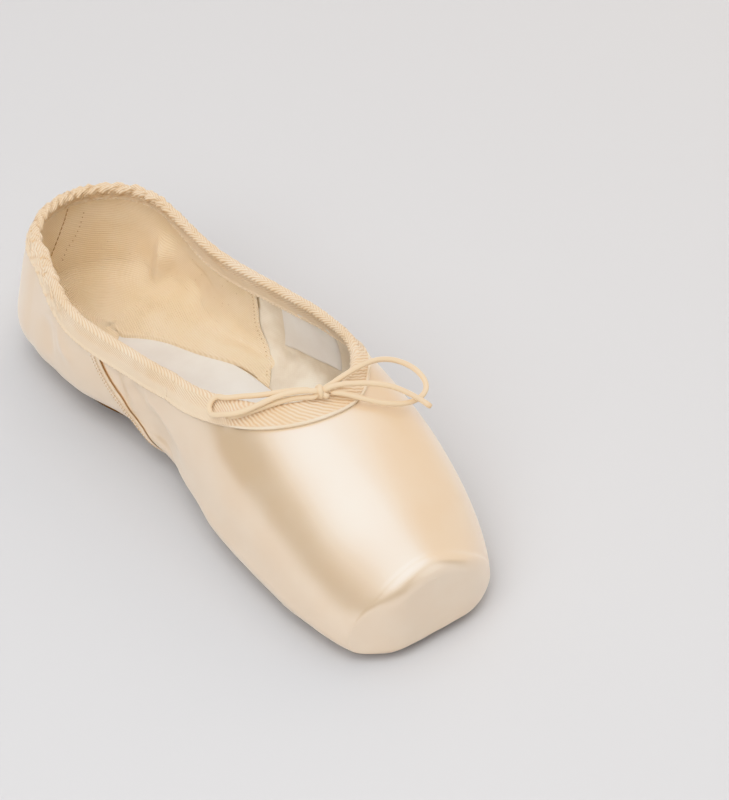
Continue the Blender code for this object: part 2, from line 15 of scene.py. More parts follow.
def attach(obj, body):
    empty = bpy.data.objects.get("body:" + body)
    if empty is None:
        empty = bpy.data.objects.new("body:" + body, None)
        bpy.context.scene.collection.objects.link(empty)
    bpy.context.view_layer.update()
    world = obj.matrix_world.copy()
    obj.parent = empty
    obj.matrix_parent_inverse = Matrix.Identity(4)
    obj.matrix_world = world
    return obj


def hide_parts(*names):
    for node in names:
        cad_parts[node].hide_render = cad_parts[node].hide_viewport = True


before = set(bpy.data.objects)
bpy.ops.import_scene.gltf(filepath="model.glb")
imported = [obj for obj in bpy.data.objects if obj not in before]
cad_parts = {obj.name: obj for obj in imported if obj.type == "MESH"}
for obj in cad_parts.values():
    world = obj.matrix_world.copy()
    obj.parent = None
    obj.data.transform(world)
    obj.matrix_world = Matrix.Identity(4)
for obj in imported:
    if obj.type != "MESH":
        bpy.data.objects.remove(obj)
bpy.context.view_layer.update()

log = logging.getLogger("pointe_shoe")

Array = np.ndarray
Colour = tuple[float, float, float]
Rows = tuple[tuple[float, ...], ...]

TENTHS_IN_A_METRE = 10000


@dataclass(frozen=True)
class Table:
    """Numbers under named columns. The first column rises, and smooth curves run through the others."""

    columns: tuple[str, ...]
    rows: Rows

    def at(self, name: str, places: Array) -> Array:
        """Reads one column's curve.

        Args:
            name: the column.
            places: places along the first column.

        Returns:
            The column's value at each place.
        """
        table = np.array(self.rows)
        x, y = table[:, 0], table[:, self.columns.index(name)]
        step = np.diff(x)
        rise = np.diff(y) / step
        slope = np.empty_like(y)
        slope[1:-1] = (rise[:-1] * step[1:] + rise[1:] * step[:-1]) / (step[1:] + step[:-1])
        slope[0], slope[-1] = rise[0], rise[-1]
        places = np.clip(places, x[0], x[-1])
        i = np.clip(np.searchsorted(x, places, side="right") - 1, 0, len(x) - 2)
        t = (places - x[i]) / step[i]
        return (
            (2 * t**3 - 3 * t**2 + 1) * y[i]
            + (t**3 - 2 * t**2 + t) * step[i] * slope[i]
            + (3 * t**2 - 2 * t**3) * y[i + 1]
            + (t**3 - t**2) * step[i] * slope[i + 1]
        )


# The last: one row for each section, from the middle of the heel's round to the toe
LAST = Table((
    "from_heel", "half_width", "widest", "crown", "under",
    "low_power", "high_power", "sideways", "falls_left",
), (
    (0.030, 0.0329, 0.0213, 0.0660, 0.0026, 2.6, 2.5, 0.0000, 0.00),
    (0.060, 0.0343, 0.0200, 0.0725, 0.0042, 2.6, 2.5, -0.0032, 0.00),
    (0.095, 0.0352, 0.0190, 0.0718, 0.0062, 2.5, 2.4, 0.0030, 0.00),
    (0.125, 0.0378, 0.0180, 0.0672, 0.0045, 2.6, 2.3, 0.0040, 0.00),
    (0.155, 0.0402, 0.0172, 0.0603, 0.0027, 3.0, 2.3, 0.0026, 0.00),
    (0.185, 0.0390, 0.0155, 0.0520, 0.0026, 3.2, 2.3, 0.0004, 0.06),
    (0.210, 0.0350, 0.0115, 0.0428, 0.0026, 3.2, 2.2, -0.0024, 0.15),
    (0.2268, 0.0290, 0.0085, 0.0345, 0.0025, 3.0, 2.0, -0.0040, 0.24),
))
COLLAR = Table(("from_heel", "height"), (
    (0.000, 0.0560), (0.025, 0.0532), (0.060, 0.0481), (0.095, 0.0459), (0.125, 0.0510),
))
SOLE = Table(("from_heel", "half_width"), (
    (0.000, 0.0235), (0.030, 0.0232), (0.055, 0.0242),
    (0.080, 0.0228), (0.100, 0.0218), (0.125, 0.0240),
    (0.150, 0.0280), (0.172, 0.0290),
))
# The facets round the toe's platform: direction across and up, distance from the middle, slope and softness
FACETS: Rows = (
    (-1.0, 0.0, 0.0170, 0.75, 0.002),
    (1.0, 0.0, 0.0055, 0.65, 0.003),
    (0.447, 0.894, 0.0250, 0.55, 0.007),
)

# The drawstring's routes away from its knot, in tenths of a millimetre
LOOP_RIGHT: Rows = (
    (-58, -489, 636), (-82, -471, 637), (-109, -455, 635), (-140, -439, 630), (-172, -426, 623),
    (-205, -414, 612), (-239, -399, 598), (-269, -381, 583), (-293, -357, 569), (-311, -326, 554),
    (-320, -294, 535), (-318, -263, 521), (-309, -239, 526), (-292, -231, 543), (-275, -241, 558),
    (-267, -264, 566), (-252, -288, 574), (-230, -312, 583), (-209, -338, 592), (-186, -364, 601),
    (-155, -391, 610), (-120, -415, 617), (-84, -442, 622), (-52, -470, 625),
)
END_RIGHT: Rows = (
    (-58, -489, 611), (-87, -468, 609), (-117, -448, 605), (-150, -432, 600), (-193, -413, 590),
    (-234, -390, 575), (-262, -369, 560), (-282, -347, 547), (-297, -321, 535),
)
LOOP_LEFT: Rows = (
    (4, -488, 625), (29, -482, 623), (58, -476, 622), (96, -469, 621), (135, -462, 618),
    (174, -455, 612), (213, -449, 604), (250, -447, 594), (285, -452, 582), (316, -466, 569),
    (341, -488, 555), (355, -515, 544), (359, -544, 534), (354, -572, 525), (339, -594, 517),
    (315, -607, 511), (283, -612, 509), (247, -612, 514), (205, -606, 526), (158, -592, 544),
    (117, -575, 564), (83, -557, 582), (52, -539, 598), (25, -522, 608), (-2, -507, 613),
)
END_LEFT: Rows = (
    (-2, -507, 636), (21, -512, 636), (49, -520, 633), (83, -531, 626), (122, -544, 616),
    (161, -559, 603), (197, -576, 588), (225, -594, 572), (250, -614, 554), (273, -635, 535),
    (290, -656, 519), (300, -671, 508),
)

# The tape by its station, negative on the wearer's right: widths of its legs and how much it is gathered
TAPE = Table(("station", "outer", "inner", "gather"), (
    (-0.164, 0.0082, 0.0080, 0.00010),
    (-0.120, 0.0082, 0.0080, 0.00012),
    (-0.062, 0.0082, 0.0078, 0.00018),
    (-0.044, 0.0068, 0.0060, 0.00060),
    (-0.025, 0.0056, 0.0058, 0.00075),
    (0.000, 0.0056, 0.0062, 0.00060),
    (0.024, 0.0058, 0.0064, 0.00065),
    (0.036, 0.0070, 0.0085, 0.00035),
    (0.058, 0.0080, 0.0100, 0.00018),
    (0.085, 0.0080, 0.0085, 0.00012),
    (0.125, 0.0070, 0.0080, 0.00014),
    (0.150, 0.0046, 0.0080, 0.00018),
    (0.160, 0.0056, 0.0080, 0.00016),
    (0.164, 0.0082, 0.0080, 0.00010),
))

# How far the lining comes in over the insole from the sole's outline, by station
SEAT = Table(("station", "wearers_left", "wearers_right"), (
    (0.000, 0.0250, 0.0250), (0.0365, 0.0245, 0.0245), (0.0395, 0.0230, 0.0215),
    (0.043, 0.0192, 0.0160), (0.047, 0.0155, 0.0105), (0.053, 0.0115, 0.0075),
    (0.060, 0.0087, 0.0058), (0.068, 0.0064, 0.0046), (0.080, 0.0030, 0.0030),
    (0.092, 0.0004, 0.0010),
))


# Numbers and curves


def smooth_step(x: Array) -> Array:
    """0 to 1 with soft ends."""
    x = np.clip(x, 0.0, 1.0)
    return x * x * (3.0 - 2.0 * x)


def soft_ramp(past: Array, soft: float) -> Array:
    """What is past zero, with a soft beginning."""
    part = np.clip(past + soft, 0.0, 2 * soft)
    return part * part / (4 * soft) + np.clip(past - soft, 0.0, None)


def in_metres(route: Rows) -> Array:
    """The points of a route that is given in tenths of a millimetre."""
    return np.array(route) / TENTHS_IN_A_METRE


def smooth_route(points: Array, step: float) -> Array:
    """Points on the natural cubic spline through a route's own points.

    Args:
        points: the route's own points, one row each.
        step: the distance between the points that come back.

    Returns:
        The points, one row each.
    """
    gaps = np.linalg.norm(np.diff(points, axis=0), axis=1)
    along = np.concatenate([[0.0], gaps.cumsum()])
    inner = np.arange(1, len(points) - 1)
    system, bend = np.eye(len(points)), np.zeros_like(points)
    system[inner, inner - 1], system[inner, inner + 1] = gaps[:-1], gaps[1:]
    system[inner, inner] = 2.0 * (gaps[:-1] + gaps[1:])
    bend[1:-1] = 6.0 * np.diff(np.diff(points, axis=0) / gaps[:, None], axis=0)
    bend = np.linalg.solve(system, bend)
    at = np.linspace(0.0, along[-1], round(along[-1] / step) + 1)
    i = np.clip(np.searchsorted(along, at, side="right") - 1, 0, len(gaps) - 1)
    gap, past = gaps[i, None], (at - along[i])[:, None]
    left = gap - past
    return (
        (bend[i] * left**3 + bend[i + 1] * past**3) / (6.0 * gap)
        + (points[i] / gap - bend[i] * gap / 6.0) * left
        + (points[i + 1] / gap - bend[i + 1] * gap / 6.0) * past
    )


def unit(vectors: Array) -> Array:
    """Vectors scaled to a length of 1."""
    return vectors / np.maximum(np.linalg.norm(vectors, axis=-1, keepdims=True), 1e-12)


def arc_length(points: Array) -> Array:
    """Distance along a row of points from its first."""
    steps = np.linalg.norm(np.diff(points, axis=0), axis=1)
    return np.concatenate([[0.0], steps.cumsum()])


def easing_out(start: float, end: float, count: int) -> Array:
    """Stations between two, after the first, drawing together towards the end."""
    return start + (end - start) * np.sin(np.linspace(0.0, math.pi / 2, count)[1:])


@dataclass(frozen=True)
class Ripple:
    """Soft unevenness of cloth: a sum of waves that run every way, the same each time.

    Its wavelength is the longest wave's, and the shortest wave is a share of that.
    """

    wavelength: float
    height: float
    seed: int = 1
    waves: int = 10
    shortest: float = 0.45

    def at(self, points: Array) -> Array:
        """Height of the cloth at each point.

        Args:
            points: places in the shoe's own metres.

        Returns:
            One height for each.
        """
        rng = np.random.default_rng(self.seed)
        total = np.zeros(points.shape[:-1])
        for _ in range(self.waves):
            way = unit(rng.normal(size=3))
            shorter = rng.uniform(self.shortest, 1.0)
            phase = rng.uniform(0.0, 2 * math.pi)
            total += shorter * np.sin(points @ way * (2 * math.pi / (self.wavelength * shorter)) + phase)
        return total * self.height / math.sqrt(self.waves)


@dataclass(frozen=True)
class Fold:
    """A soft trough or ridge in the cloth.

    Its route is in tenths of a millimetre. At its width it has nearly gone, and at its core, a share of that,
    a third of it is left. It rises over a share of its length at each end; a trough's rise is negative.
    """

    route: Rows
    width: float
    rise: float
    fade: float = 0.35
    step: float = 0.002
    reach: float = 3.0
    core: float = 0.6

    def at(self, points: Array) -> Array:
        """How far the fold moves the cloth at each point.

        Args:
            points: places on or near the cloth.

        Returns:
            The moves, outwards.
        """
        knots = in_metres(self.route)
        if len(knots) > 2:
            knots = smooth_route(knots, self.step)
        along = arc_length(knots)
        flat = points.reshape(-1, 3)
        best = np.full(len(flat), np.inf)
        where = np.zeros(len(flat))
        margin = self.reach * self.width
        box = (flat > knots.min(0) - margin).all(1) & (flat < knots.max(0) + margin).all(1)
        near = np.flatnonzero(box)
        for start, end, before, after in zip(knots[:-1], knots[1:], along[:-1], along[1:]):
            way = end - start
            t = np.clip((flat[near] - start) @ way / (way @ way), 0.0, 1.0)
            gap = np.linalg.norm(flat[near] - start - t[:, None] * way, axis=1)
            closer = gap < best[near]
            best[near] = np.where(closer, gap, best[near])
            where[near] = np.where(closer, before + t * (after - before), where[near])
        share = where / along[-1]
        ends = smooth_step(share / self.fade) * smooth_step((1.0 - share) / self.fade)
        out = np.zeros(len(flat))
        out[near] = self.rise * ends[near] * np.exp(-((best[near] / (self.core * self.width)) ** 2))
        return out.reshape(points.shape[:-1])


def folded(points: Array, folds: Sequence[Fold]) -> Array:
    """How far a set of folds moves the cloth at each point.

    Args:
        points: places on or near the cloth.
        folds: the folds.

    Returns:
        The sum of their moves.
    """
    total = np.zeros(points.shape[:-1])
    for fold in folds:
        total += fold.at(points)
    return total


# The shoe's own shape


@dataclass
class Last:
    """The shape that the shoe was made on, and the places on it."""

    length: float = 0.232
    heel_radius: float = 0.030
    toe_edge: float = 0.0060
    toe_undercut: float = 0.45
    facet_round: float = 0.0045
    heel_rim: float = 0.75
    throat_start: float = 0.115
    throat_front: float = 0.164
    throat_power: float = 2.3
    sole_round_start: float = 0.172
    sole_round_power: float = 2.2
    sole_front: float = 0.207
    sole_margin: float = 0.0070
    quarter_wall: float = 0.0015
    box_wall: float = 0.0028
    box_begins: float = 0.138
    box_is_full: float = 0.172
    dense: int = 128
    stations: int = 1600
    shares: int = 480
    slope_step: float = 0.0008
    share_step: float = 0.008
    touch: float = 1e-6
    plan_places: int = 400
    girth_every: int = 16
    fall_start: float = -0.010
    fall_width: float = 0.034
    under_reach: float = 0.98
    plan_middle: float = field(init=False, default=0.0)
    _u: Array = field(init=False, repr=False)
    _reach: Array = field(init=False, repr=False)
    _height: Array = field(init=False, repr=False)

    def __post_init__(self) -> None:
        """Works out the middle of the plan and a fine table of the surface."""
        at = np.linspace(self.heel_radius, self.tip_start, self.plan_places)
        wide, sideways = self.value("half_width", at), self.value("sideways", at)
        self.plan_middle = ((sideways + wide).max() + (sideways - wide).min()) / 2
        self._u = np.linspace(0.0, self.station_end, self.stations)
        reach, height, share = self.sections(self._u)
        even = np.linspace(0.0, 1.0, self.shares)
        self._reach = np.array([np.interp(even, s, r) for s, r in zip(share, reach)])
        self._height = np.array([np.interp(even, s, h) for s, h in zip(share, height)])

    @property
    def tip_start(self) -> float:
        """Station where the toe's edge begins."""
        return self.length - self.toe_edge

    @property
    def station_end(self) -> float:
        """Station at the end of the toe's edge, on the platform."""
        return self.tip_start + self.toe_edge * math.pi / 2

    @property
    def opening_front(self) -> float:
        """Station where the opening underneath ends."""
        return self.sole_front - self.sole_margin

    def value(self, name: str, at: Array) -> Array:
        """A column of the last's table at a distance from the heel."""
        return LAST.at(name, at)

    def heel_turn(self, u: Array) -> Array:
        """Angle of a station's section round the heel."""
        return np.clip(u / self.heel_radius, 0.0, 1.0) * math.pi / 2

    def tip_turn(self, u: Array) -> Array:
        """Angle that a station has gone round the toe's edge."""
        return np.clip((u - self.tip_start) / self.toe_edge, 0.0, math.pi / 2)

    def sections(self, u: Array) -> tuple[Array, Array, Array]:
        """Half sections of the last, from the middle of its underside to the middle of its crown.

        Args:
            u: stations.

        Returns:
            The reach from the middle, the height, and the share of the section's length.
        """
        turn, tip = self.heel_turn(u), self.tip_turn(u)
        inset = self.toe_edge * (1.0 - np.cos(tip))
        at = np.clip(u, self.heel_radius, self.tip_start)
        side = self.value("half_width", at)
        wide = self.heel_radius * np.cos(turn) ** 2 + side * np.sin(turn) ** 2 - inset
        middle = self.value("widest", at)
        crown = self.value("crown", at) - inset - middle
        under = middle - self.value("under", at) - self.toe_undercut * inset
        low, high = 2.0 / self.value("low_power", at), 2.0 / self.value("high_power", at)
        angle = np.linspace(0.0, math.pi / 2, self.dense)[None, :]
        sin, cos = np.sin(angle), np.clip(np.cos(angle), 0.0, 1.0)
        wide, middle, crown, under, low, high = (v[:, None] for v in (wide, middle, crown, under, low, high))
        reach = np.concatenate([wide * sin**low, wide * cos[:, 1:] ** high], 1)
        height = np.concatenate([middle - under * cos**low, middle + crown * sin[:, 1:] ** high], 1)
        length = np.hypot(np.diff(reach, axis=1), np.diff(height, axis=1)).cumsum(1)
        share = np.concatenate([np.zeros((len(u), 1)), length / length[:, -1:]], 1)
        return reach, height, share

    def faceted(self, from_heel: Array, x: Array, height: Array) -> Array:
        """Distance from the heel, held back by the slanting facets round the platform.

        Args:
            from_heel: distances from the heel.
            x: places across the shoe.
            height: heights over the floor.

        Returns:
            The distances that are left.
        """
        back = np.zeros_like(x)
        for across, up, distance, slope, soft in FACETS:
            back = back + slope * soft_ramp(across * x + up * height - distance, soft)
        return from_heel - soft_ramp(from_heel - self.length - self.facet_round + back, self.facet_round)

    def section_length(self, u: Array) -> Array:
        """Length of the half section at each station."""
        reach, height, _ = self.sections(np.asarray(u, float))
        return np.hypot(np.diff(reach, axis=1), np.diff(height, axis=1)).sum(1)

    def girth(self, u: Array) -> Array:
        """Length of the half section at each station, read between every few of the last's own."""
        coarse = self._u[:: self.girth_every]
        return np.interp(u, coarse, self.section_length(coarse))

    def share_where(self, values: Array, share: Array, limit: Array, upper: bool) -> Array:
        """Share along each section where its values cross a limit.

        Args:
            values: the values along each section.
            share: the shares along each section.
            limit: the limit for each section.
            upper: whether the crossing is looked for above the widest place.

        Returns:
            The share for each section.
        """
        half = slice(self.dense - 1, None) if upper else slice(0, self.dense)
        values, share = values[:, half], share[:, half]
        rising = values[:, :1] < values[:, -1:]
        before = np.clip(((values < limit[:, None]) == rising).sum(1), 1, values.shape[1] - 1)
        row = np.arange(len(limit))
        a, b = values[row, before - 1], values[row, before]
        part = np.clip((limit - a) / np.where(a == b, 1.0, b - a), 0.0, 1.0)
        return share[row, before - 1] + part * (share[row, before] - share[row, before - 1])

    def surface(self, side: Array, u: Array, q: Array) -> Array:
        """Points of the last's surface.

        Args:
            side: 1 is the wearer's left, -1 the right.
            u: stations.
            q: shares along the section, 0 underneath and 1 on the crown.

        Returns:
            The points.
        """
        side, u, q = np.broadcast_arrays(*(np.asarray(v, float) for v in (side, u, q)))
        side = side * np.where(u < 0, -1.0, 1.0) * np.where((q > 1) | (q < 0), -1.0, 1.0)
        u, q = np.abs(u), np.where(q > 1, 2.0 - q, np.abs(q))
        at = np.clip(u / self.station_end, 0.0, 1.0) * (self.stations - 1)
        along = np.clip(q, 0.0, 1.0) * (self.shares - 1)
        i, j = np.minimum(at.astype(int), self.stations - 2), np.minimum(along.astype(int), self.shares - 2)
        a, b = at - i, along - j

        def read(table: Array) -> Array:
            """Value between four neighbours of a table."""
            low = table[i, j] * (1 - b) + table[i, j + 1] * b
            high = table[i + 1, j] * (1 - b) + table[i + 1, j + 1] * b
            return low * (1 - a) + high * a

        reach, height = read(self._reach), read(self._height)
        turn, tip = self.heel_turn(u), self.tip_turn(u)
        from_heel = (
            np.clip(u, self.heel_radius, self.tip_start) - reach * np.cos(turn) + self.toe_edge * np.sin(tip)
        )
        x = side * reach * np.sin(turn) + self.value("sideways", from_heel) - self.plan_middle
        at = np.clip(u, self.heel_radius, self.tip_start)
        above = np.maximum(height - self.value("widest", at), 0.0)
        fallen = above * self.value("falls_left", at)
        height = height - fallen * smooth_step((x - self.fall_start) / self.fall_width)
        return np.stack([x, self.length / 2 - self.faceted(from_heel, x, height), height], -1)

    def slopes(self, side: Array, u: Array, q: Array) -> tuple[Array, Array]:
        """How far the surface goes over two small steps of station, and over two of share."""
        along = self.surface(side, u + self.slope_step, q) - self.surface(side, u - self.slope_step, q)
        return along, self.surface(side, u, q + self.share_step) - self.surface(side, u, q - self.share_step)

    def normals(self, side: Array, u: Array, q: Array) -> Array:
        """Unit normals of the last's surface, pointing out."""
        along, up = self.slopes(side, u, q)
        return unit(np.cross(along, up) * -np.asarray(side, float)[..., None])

    def wall(self, u: Array) -> Array:
        """Thickness of the upper at a station."""
        on = smooth_step((u - self.box_begins) / (self.box_is_full - self.box_begins))
        return self.quarter_wall + (self.box_wall - self.quarter_wall) * on

    def collar_share(self, u: Array) -> Array:
        """Share at which the collar's edge lies at each station; 1 in front of the throat.

        Args:
            u: stations.

        Returns:
            The shares.
        """
        u = np.asarray(u, float)
        reach, height, share = self.sections(u)
        back = self.heel_rim * self.heel_radius * np.cos(self.heel_turn(u))
        from_heel = np.clip(u, self.heel_radius, None) - back
        level = COLLAR.at("height", from_heel)
        by_height = self.share_where(height, share, level, True)
        start = np.array([self.throat_start])
        reach0, height0, share0 = self.sections(start)
        level0 = COLLAR.at("height", start)
        half_throat = np.interp(self.share_where(height0, share0, level0, True)[0], share0[0], reach0[0])
        on = np.clip((u - self.throat_start) / (self.throat_front - self.throat_start), 0.0, 1.0)
        narrowing = half_throat * (1.0 - on**2) ** (1.0 / self.throat_power)
        by_plan = self.share_where(reach, share, narrowing, True)
        ahead = np.where(u > self.throat_front - self.touch, 1.0, by_plan)
        return np.where(u <= self.throat_start, by_height, ahead)

    def sole_half(self, u: Array, front: float, inset: float = 0.0) -> Array:
        """Half width of the sole's outline at each station, or of an outline inset from it.

        Args:
            u: stations.
            front: the station where the outline ends.
            inset: how far it is drawn in.

        Returns:
            The half widths.
        """
        u = np.asarray(u, float)
        wide = SOLE.at("half_width", np.minimum(u, self.sole_round_start)) - inset
        on = np.clip((u - self.sole_round_start) / (front - self.sole_round_start), 0.0, 1.0)
        return wide * np.sqrt(1.0 - on**self.sole_round_power)

    def opening_share(self, u: Array) -> Array:
        """Share at which the opening underneath ends at each station; 0 in front of it."""
        (reach, _, share), front = self.sections(u), self.opening_front
        found = self.share_where(reach, share, self.sole_half(u, front, self.sole_margin), False)
        return np.where(u > front - self.touch, 0.0, found)

    def under_height(self, u: Array, reach: Array) -> Array:
        """Height of the last's underside at a reach from the middle of a station.

        Args:
            u: stations.
            reach: distances from the middle.

        Returns:
            The heights.
        """
        at = np.clip(u, self.heel_radius, self.tip_start)
        middle, power = self.value("widest", at), self.value("low_power", at)
        turn = self.heel_turn(u)
        half = self.heel_radius * np.cos(turn) ** 2 + self.value("half_width", at) * np.sin(turn) ** 2
        drop = middle - self.value("under", at)
        return middle - drop * (1.0 - np.clip(reach / half, 0.0, self.under_reach) ** power) ** (1.0 / power)

    def floor_point(self, side: Array, u: Array, reach: Array) -> Array:
        """A point of the last's underside, at a reach from the middle of a station.

        Args:
            side: 1 is the wearer's left, -1 the right.
            u: stations.
            reach: distances from the middle.

        Returns:
            The points.
        """
        turn = self.heel_turn(u)
        from_heel = np.clip(u, self.heel_radius, self.tip_start) - reach * np.cos(turn)
        x = side * reach * np.sin(turn) + self.value("sideways", from_heel) - self.plan_middle
        return np.stack([x, self.length / 2 - from_heel, self.under_height(u, reach)], -1)

    def floor_slant(self, u: Array, reach: Array) -> Array:
        """How much longer an upright line through a layer underneath is than the layer is thick."""
        step = self.slope_step
        rise = self.under_height(u, reach + step) - self.under_height(u, np.maximum(reach - step, 0.0))
        return np.hypot(1.0, rise / (2 * step))

    def walk(self, side: Array, u: Array, q: Array, away: Array, distance: Array,
             steps: int = 2) -> tuple[Array, Array, Array]:
        """Moves places on the wall by a distance.

        Args:
            side: the side of each place.
            u: its station.
            q: its share.
            away: the direction to go in.
            distance: how far.
            steps: how many steps that takes.

        Returns:
            The new stations, shares and directions.
        """
        for _ in range(steps):
            du, dq = self.slopes(side, u, q)
            du, dq = du / (2 * self.slope_step), dq / (2 * self.share_step)
            normal = self.normals(side, u, q)
            away = unit(away - (away * normal).sum(-1)[..., None] * normal)
            step = away * (distance[..., None] / steps)
            uu, uq, qq = (du * du).sum(-1), (du * dq).sum(-1), (dq * dq).sum(-1)
            bu, bq = (du * step).sum(-1), (dq * step).sum(-1)
            area = uu * qq - uq * uq
            u, q = u + (bu * qq - bq * uq) / area, q + (bq * uu - bu * uq) / area
        return u, q, away


# Shapes of the whole wall, their routes in tenths of a millimetre
WALL_FOLDS = (
    Fold(((-350, 90, 90), (-355, 75, 160), (-352, 50, 240), (-345, 20, 330)), 0.021, -0.0044, 0.35),
    Fold(((-335, 680, 130), (-340, 400, 130), (-335, 120, 120)), 0.012, -0.0018, 0.25),
    Fold(((-200, 1105, 160), (-300, 960, 170), (-350, 800, 180), (-365, 660, 190)), 0.020, 0.0024, 0.3),
    Fold(((285, 690, 330), (280, 710, 220), (262, 780, 120)), 0.013, 0.0026, 0.3),
    Fold(((-370, -200, 85), (-385, -450, 85), (-380, -700, 85), (-345, -920, 85)), 0.012, 0.0013, 0.2),
)
# Creases of the satin alone
SATIN_FOLDS = (
    Fold(((-345, 310, 400), (-352, 280, 310), (-350, 230, 215)), 0.0055, -0.0010),
    Fold(((-342, 262, 400), (-350, 225, 315), (-350, 165, 220)), 0.0050, 0.0009),
    Fold(((-342, 215, 385), (-348, 175, 290), (-350, 95, 200)), 0.0070, -0.0014),
    Fold(((-345, 120, 350), (-350, 80, 270)), 0.0060, 0.0006),
    Fold(((-385, 600, 400), (-391, 586, 322), (-380, 506, 280)), 0.0050, 0.0009),
    Fold(((-375, 720, 380), (-380, 697, 300), (-380, 690, 200)), 0.0065, -0.0010),
    Fold(((-290, -290, 500), (-308, -370, 475), (-325, -480, 440), (-330, -570, 410)), 0.0090, -0.0006),
    Fold(((-305, -300, 497), (-285, -360, 522)), 0.0032, 0.0007),
)
# Creases of the lining alone; these rise inwards
LINING_FOLDS = (
    Fold(((240, 460, 120), (246, 400, 110), (249, 330, 106)), 0.0050, 0.0010),
    Fold(((290, 420, 200), (280, 360, 150)), 0.0050, 0.0007),
    Fold(((286, 885, 360), (284, 913, 250), (266, 931, 138), (203, 884, 80)), 0.0085, 0.0056, 0.35),
    Fold(((203, 884, 75), (130, 805, 76), (85, 745, 76)), 0.0060, 0.0010),
    Fold(((-69, 1136, 169), (56, 1092, 110), (144, 985, 100)), 0.0060, -0.0003),
    Fold(((311, 257, 136), (330, 201, 143), (345, 146, 152)), 0.0040, -0.0010),
    Fold(((325, 250, 180), (345, 180, 185)), 0.0040, 0.0008),
)


# Shader graphs


class Signal:
    """A node's output. Python's operators on it add Math nodes."""

    def __init__(self, graph: "Graph", socket: bpy.types.NodeSocket) -> None:
        """Keeps the graph and the socket."""
        self.graph, self.socket = graph, socket

    def math(self, operation: str, *values: Any) -> "Signal":
        """A Math node with this signal first."""
        node = self.graph.node("ShaderNodeMath", {"operation": operation}, dict(enumerate((self, *values))))
        return Signal(self.graph, node.outputs[0])

    def __add__(self, other: Any) -> "Signal":
        """Sum."""
        return self.math("ADD", other)

    def __sub__(self, other: Any) -> "Signal":
        """Difference."""
        return self.math("SUBTRACT", other)

    def __rsub__(self, other: float) -> "Signal":
        """Difference from a number."""
        node = self.graph.node("ShaderNodeMath", {"operation": "SUBTRACT"}, {0: other, 1: self})
        return Signal(self.graph, node.outputs[0])

    def __mul__(self, other: Any) -> "Signal":
        """Product."""
        return self.math("MULTIPLY", other)

    __radd__, __rmul__ = __add__, __mul__

    def __abs__(self) -> "Signal":
        """Size without sign."""
        return self.math("ABSOLUTE")

    def sine(self) -> "Signal":
        """Sine."""
        return self.math("SINE")

    def between(self, low: float, high: float) -> "Signal":
        """0 to 1 with soft ends as the signal goes from low to high."""
        values = {"Value": self, "From Min": low, "From Max": high}
        node = self.graph.node("ShaderNodeMapRange", {"interpolation_type": "SMOOTHSTEP"}, values)
        return Signal(self.graph, node.outputs["Result"])


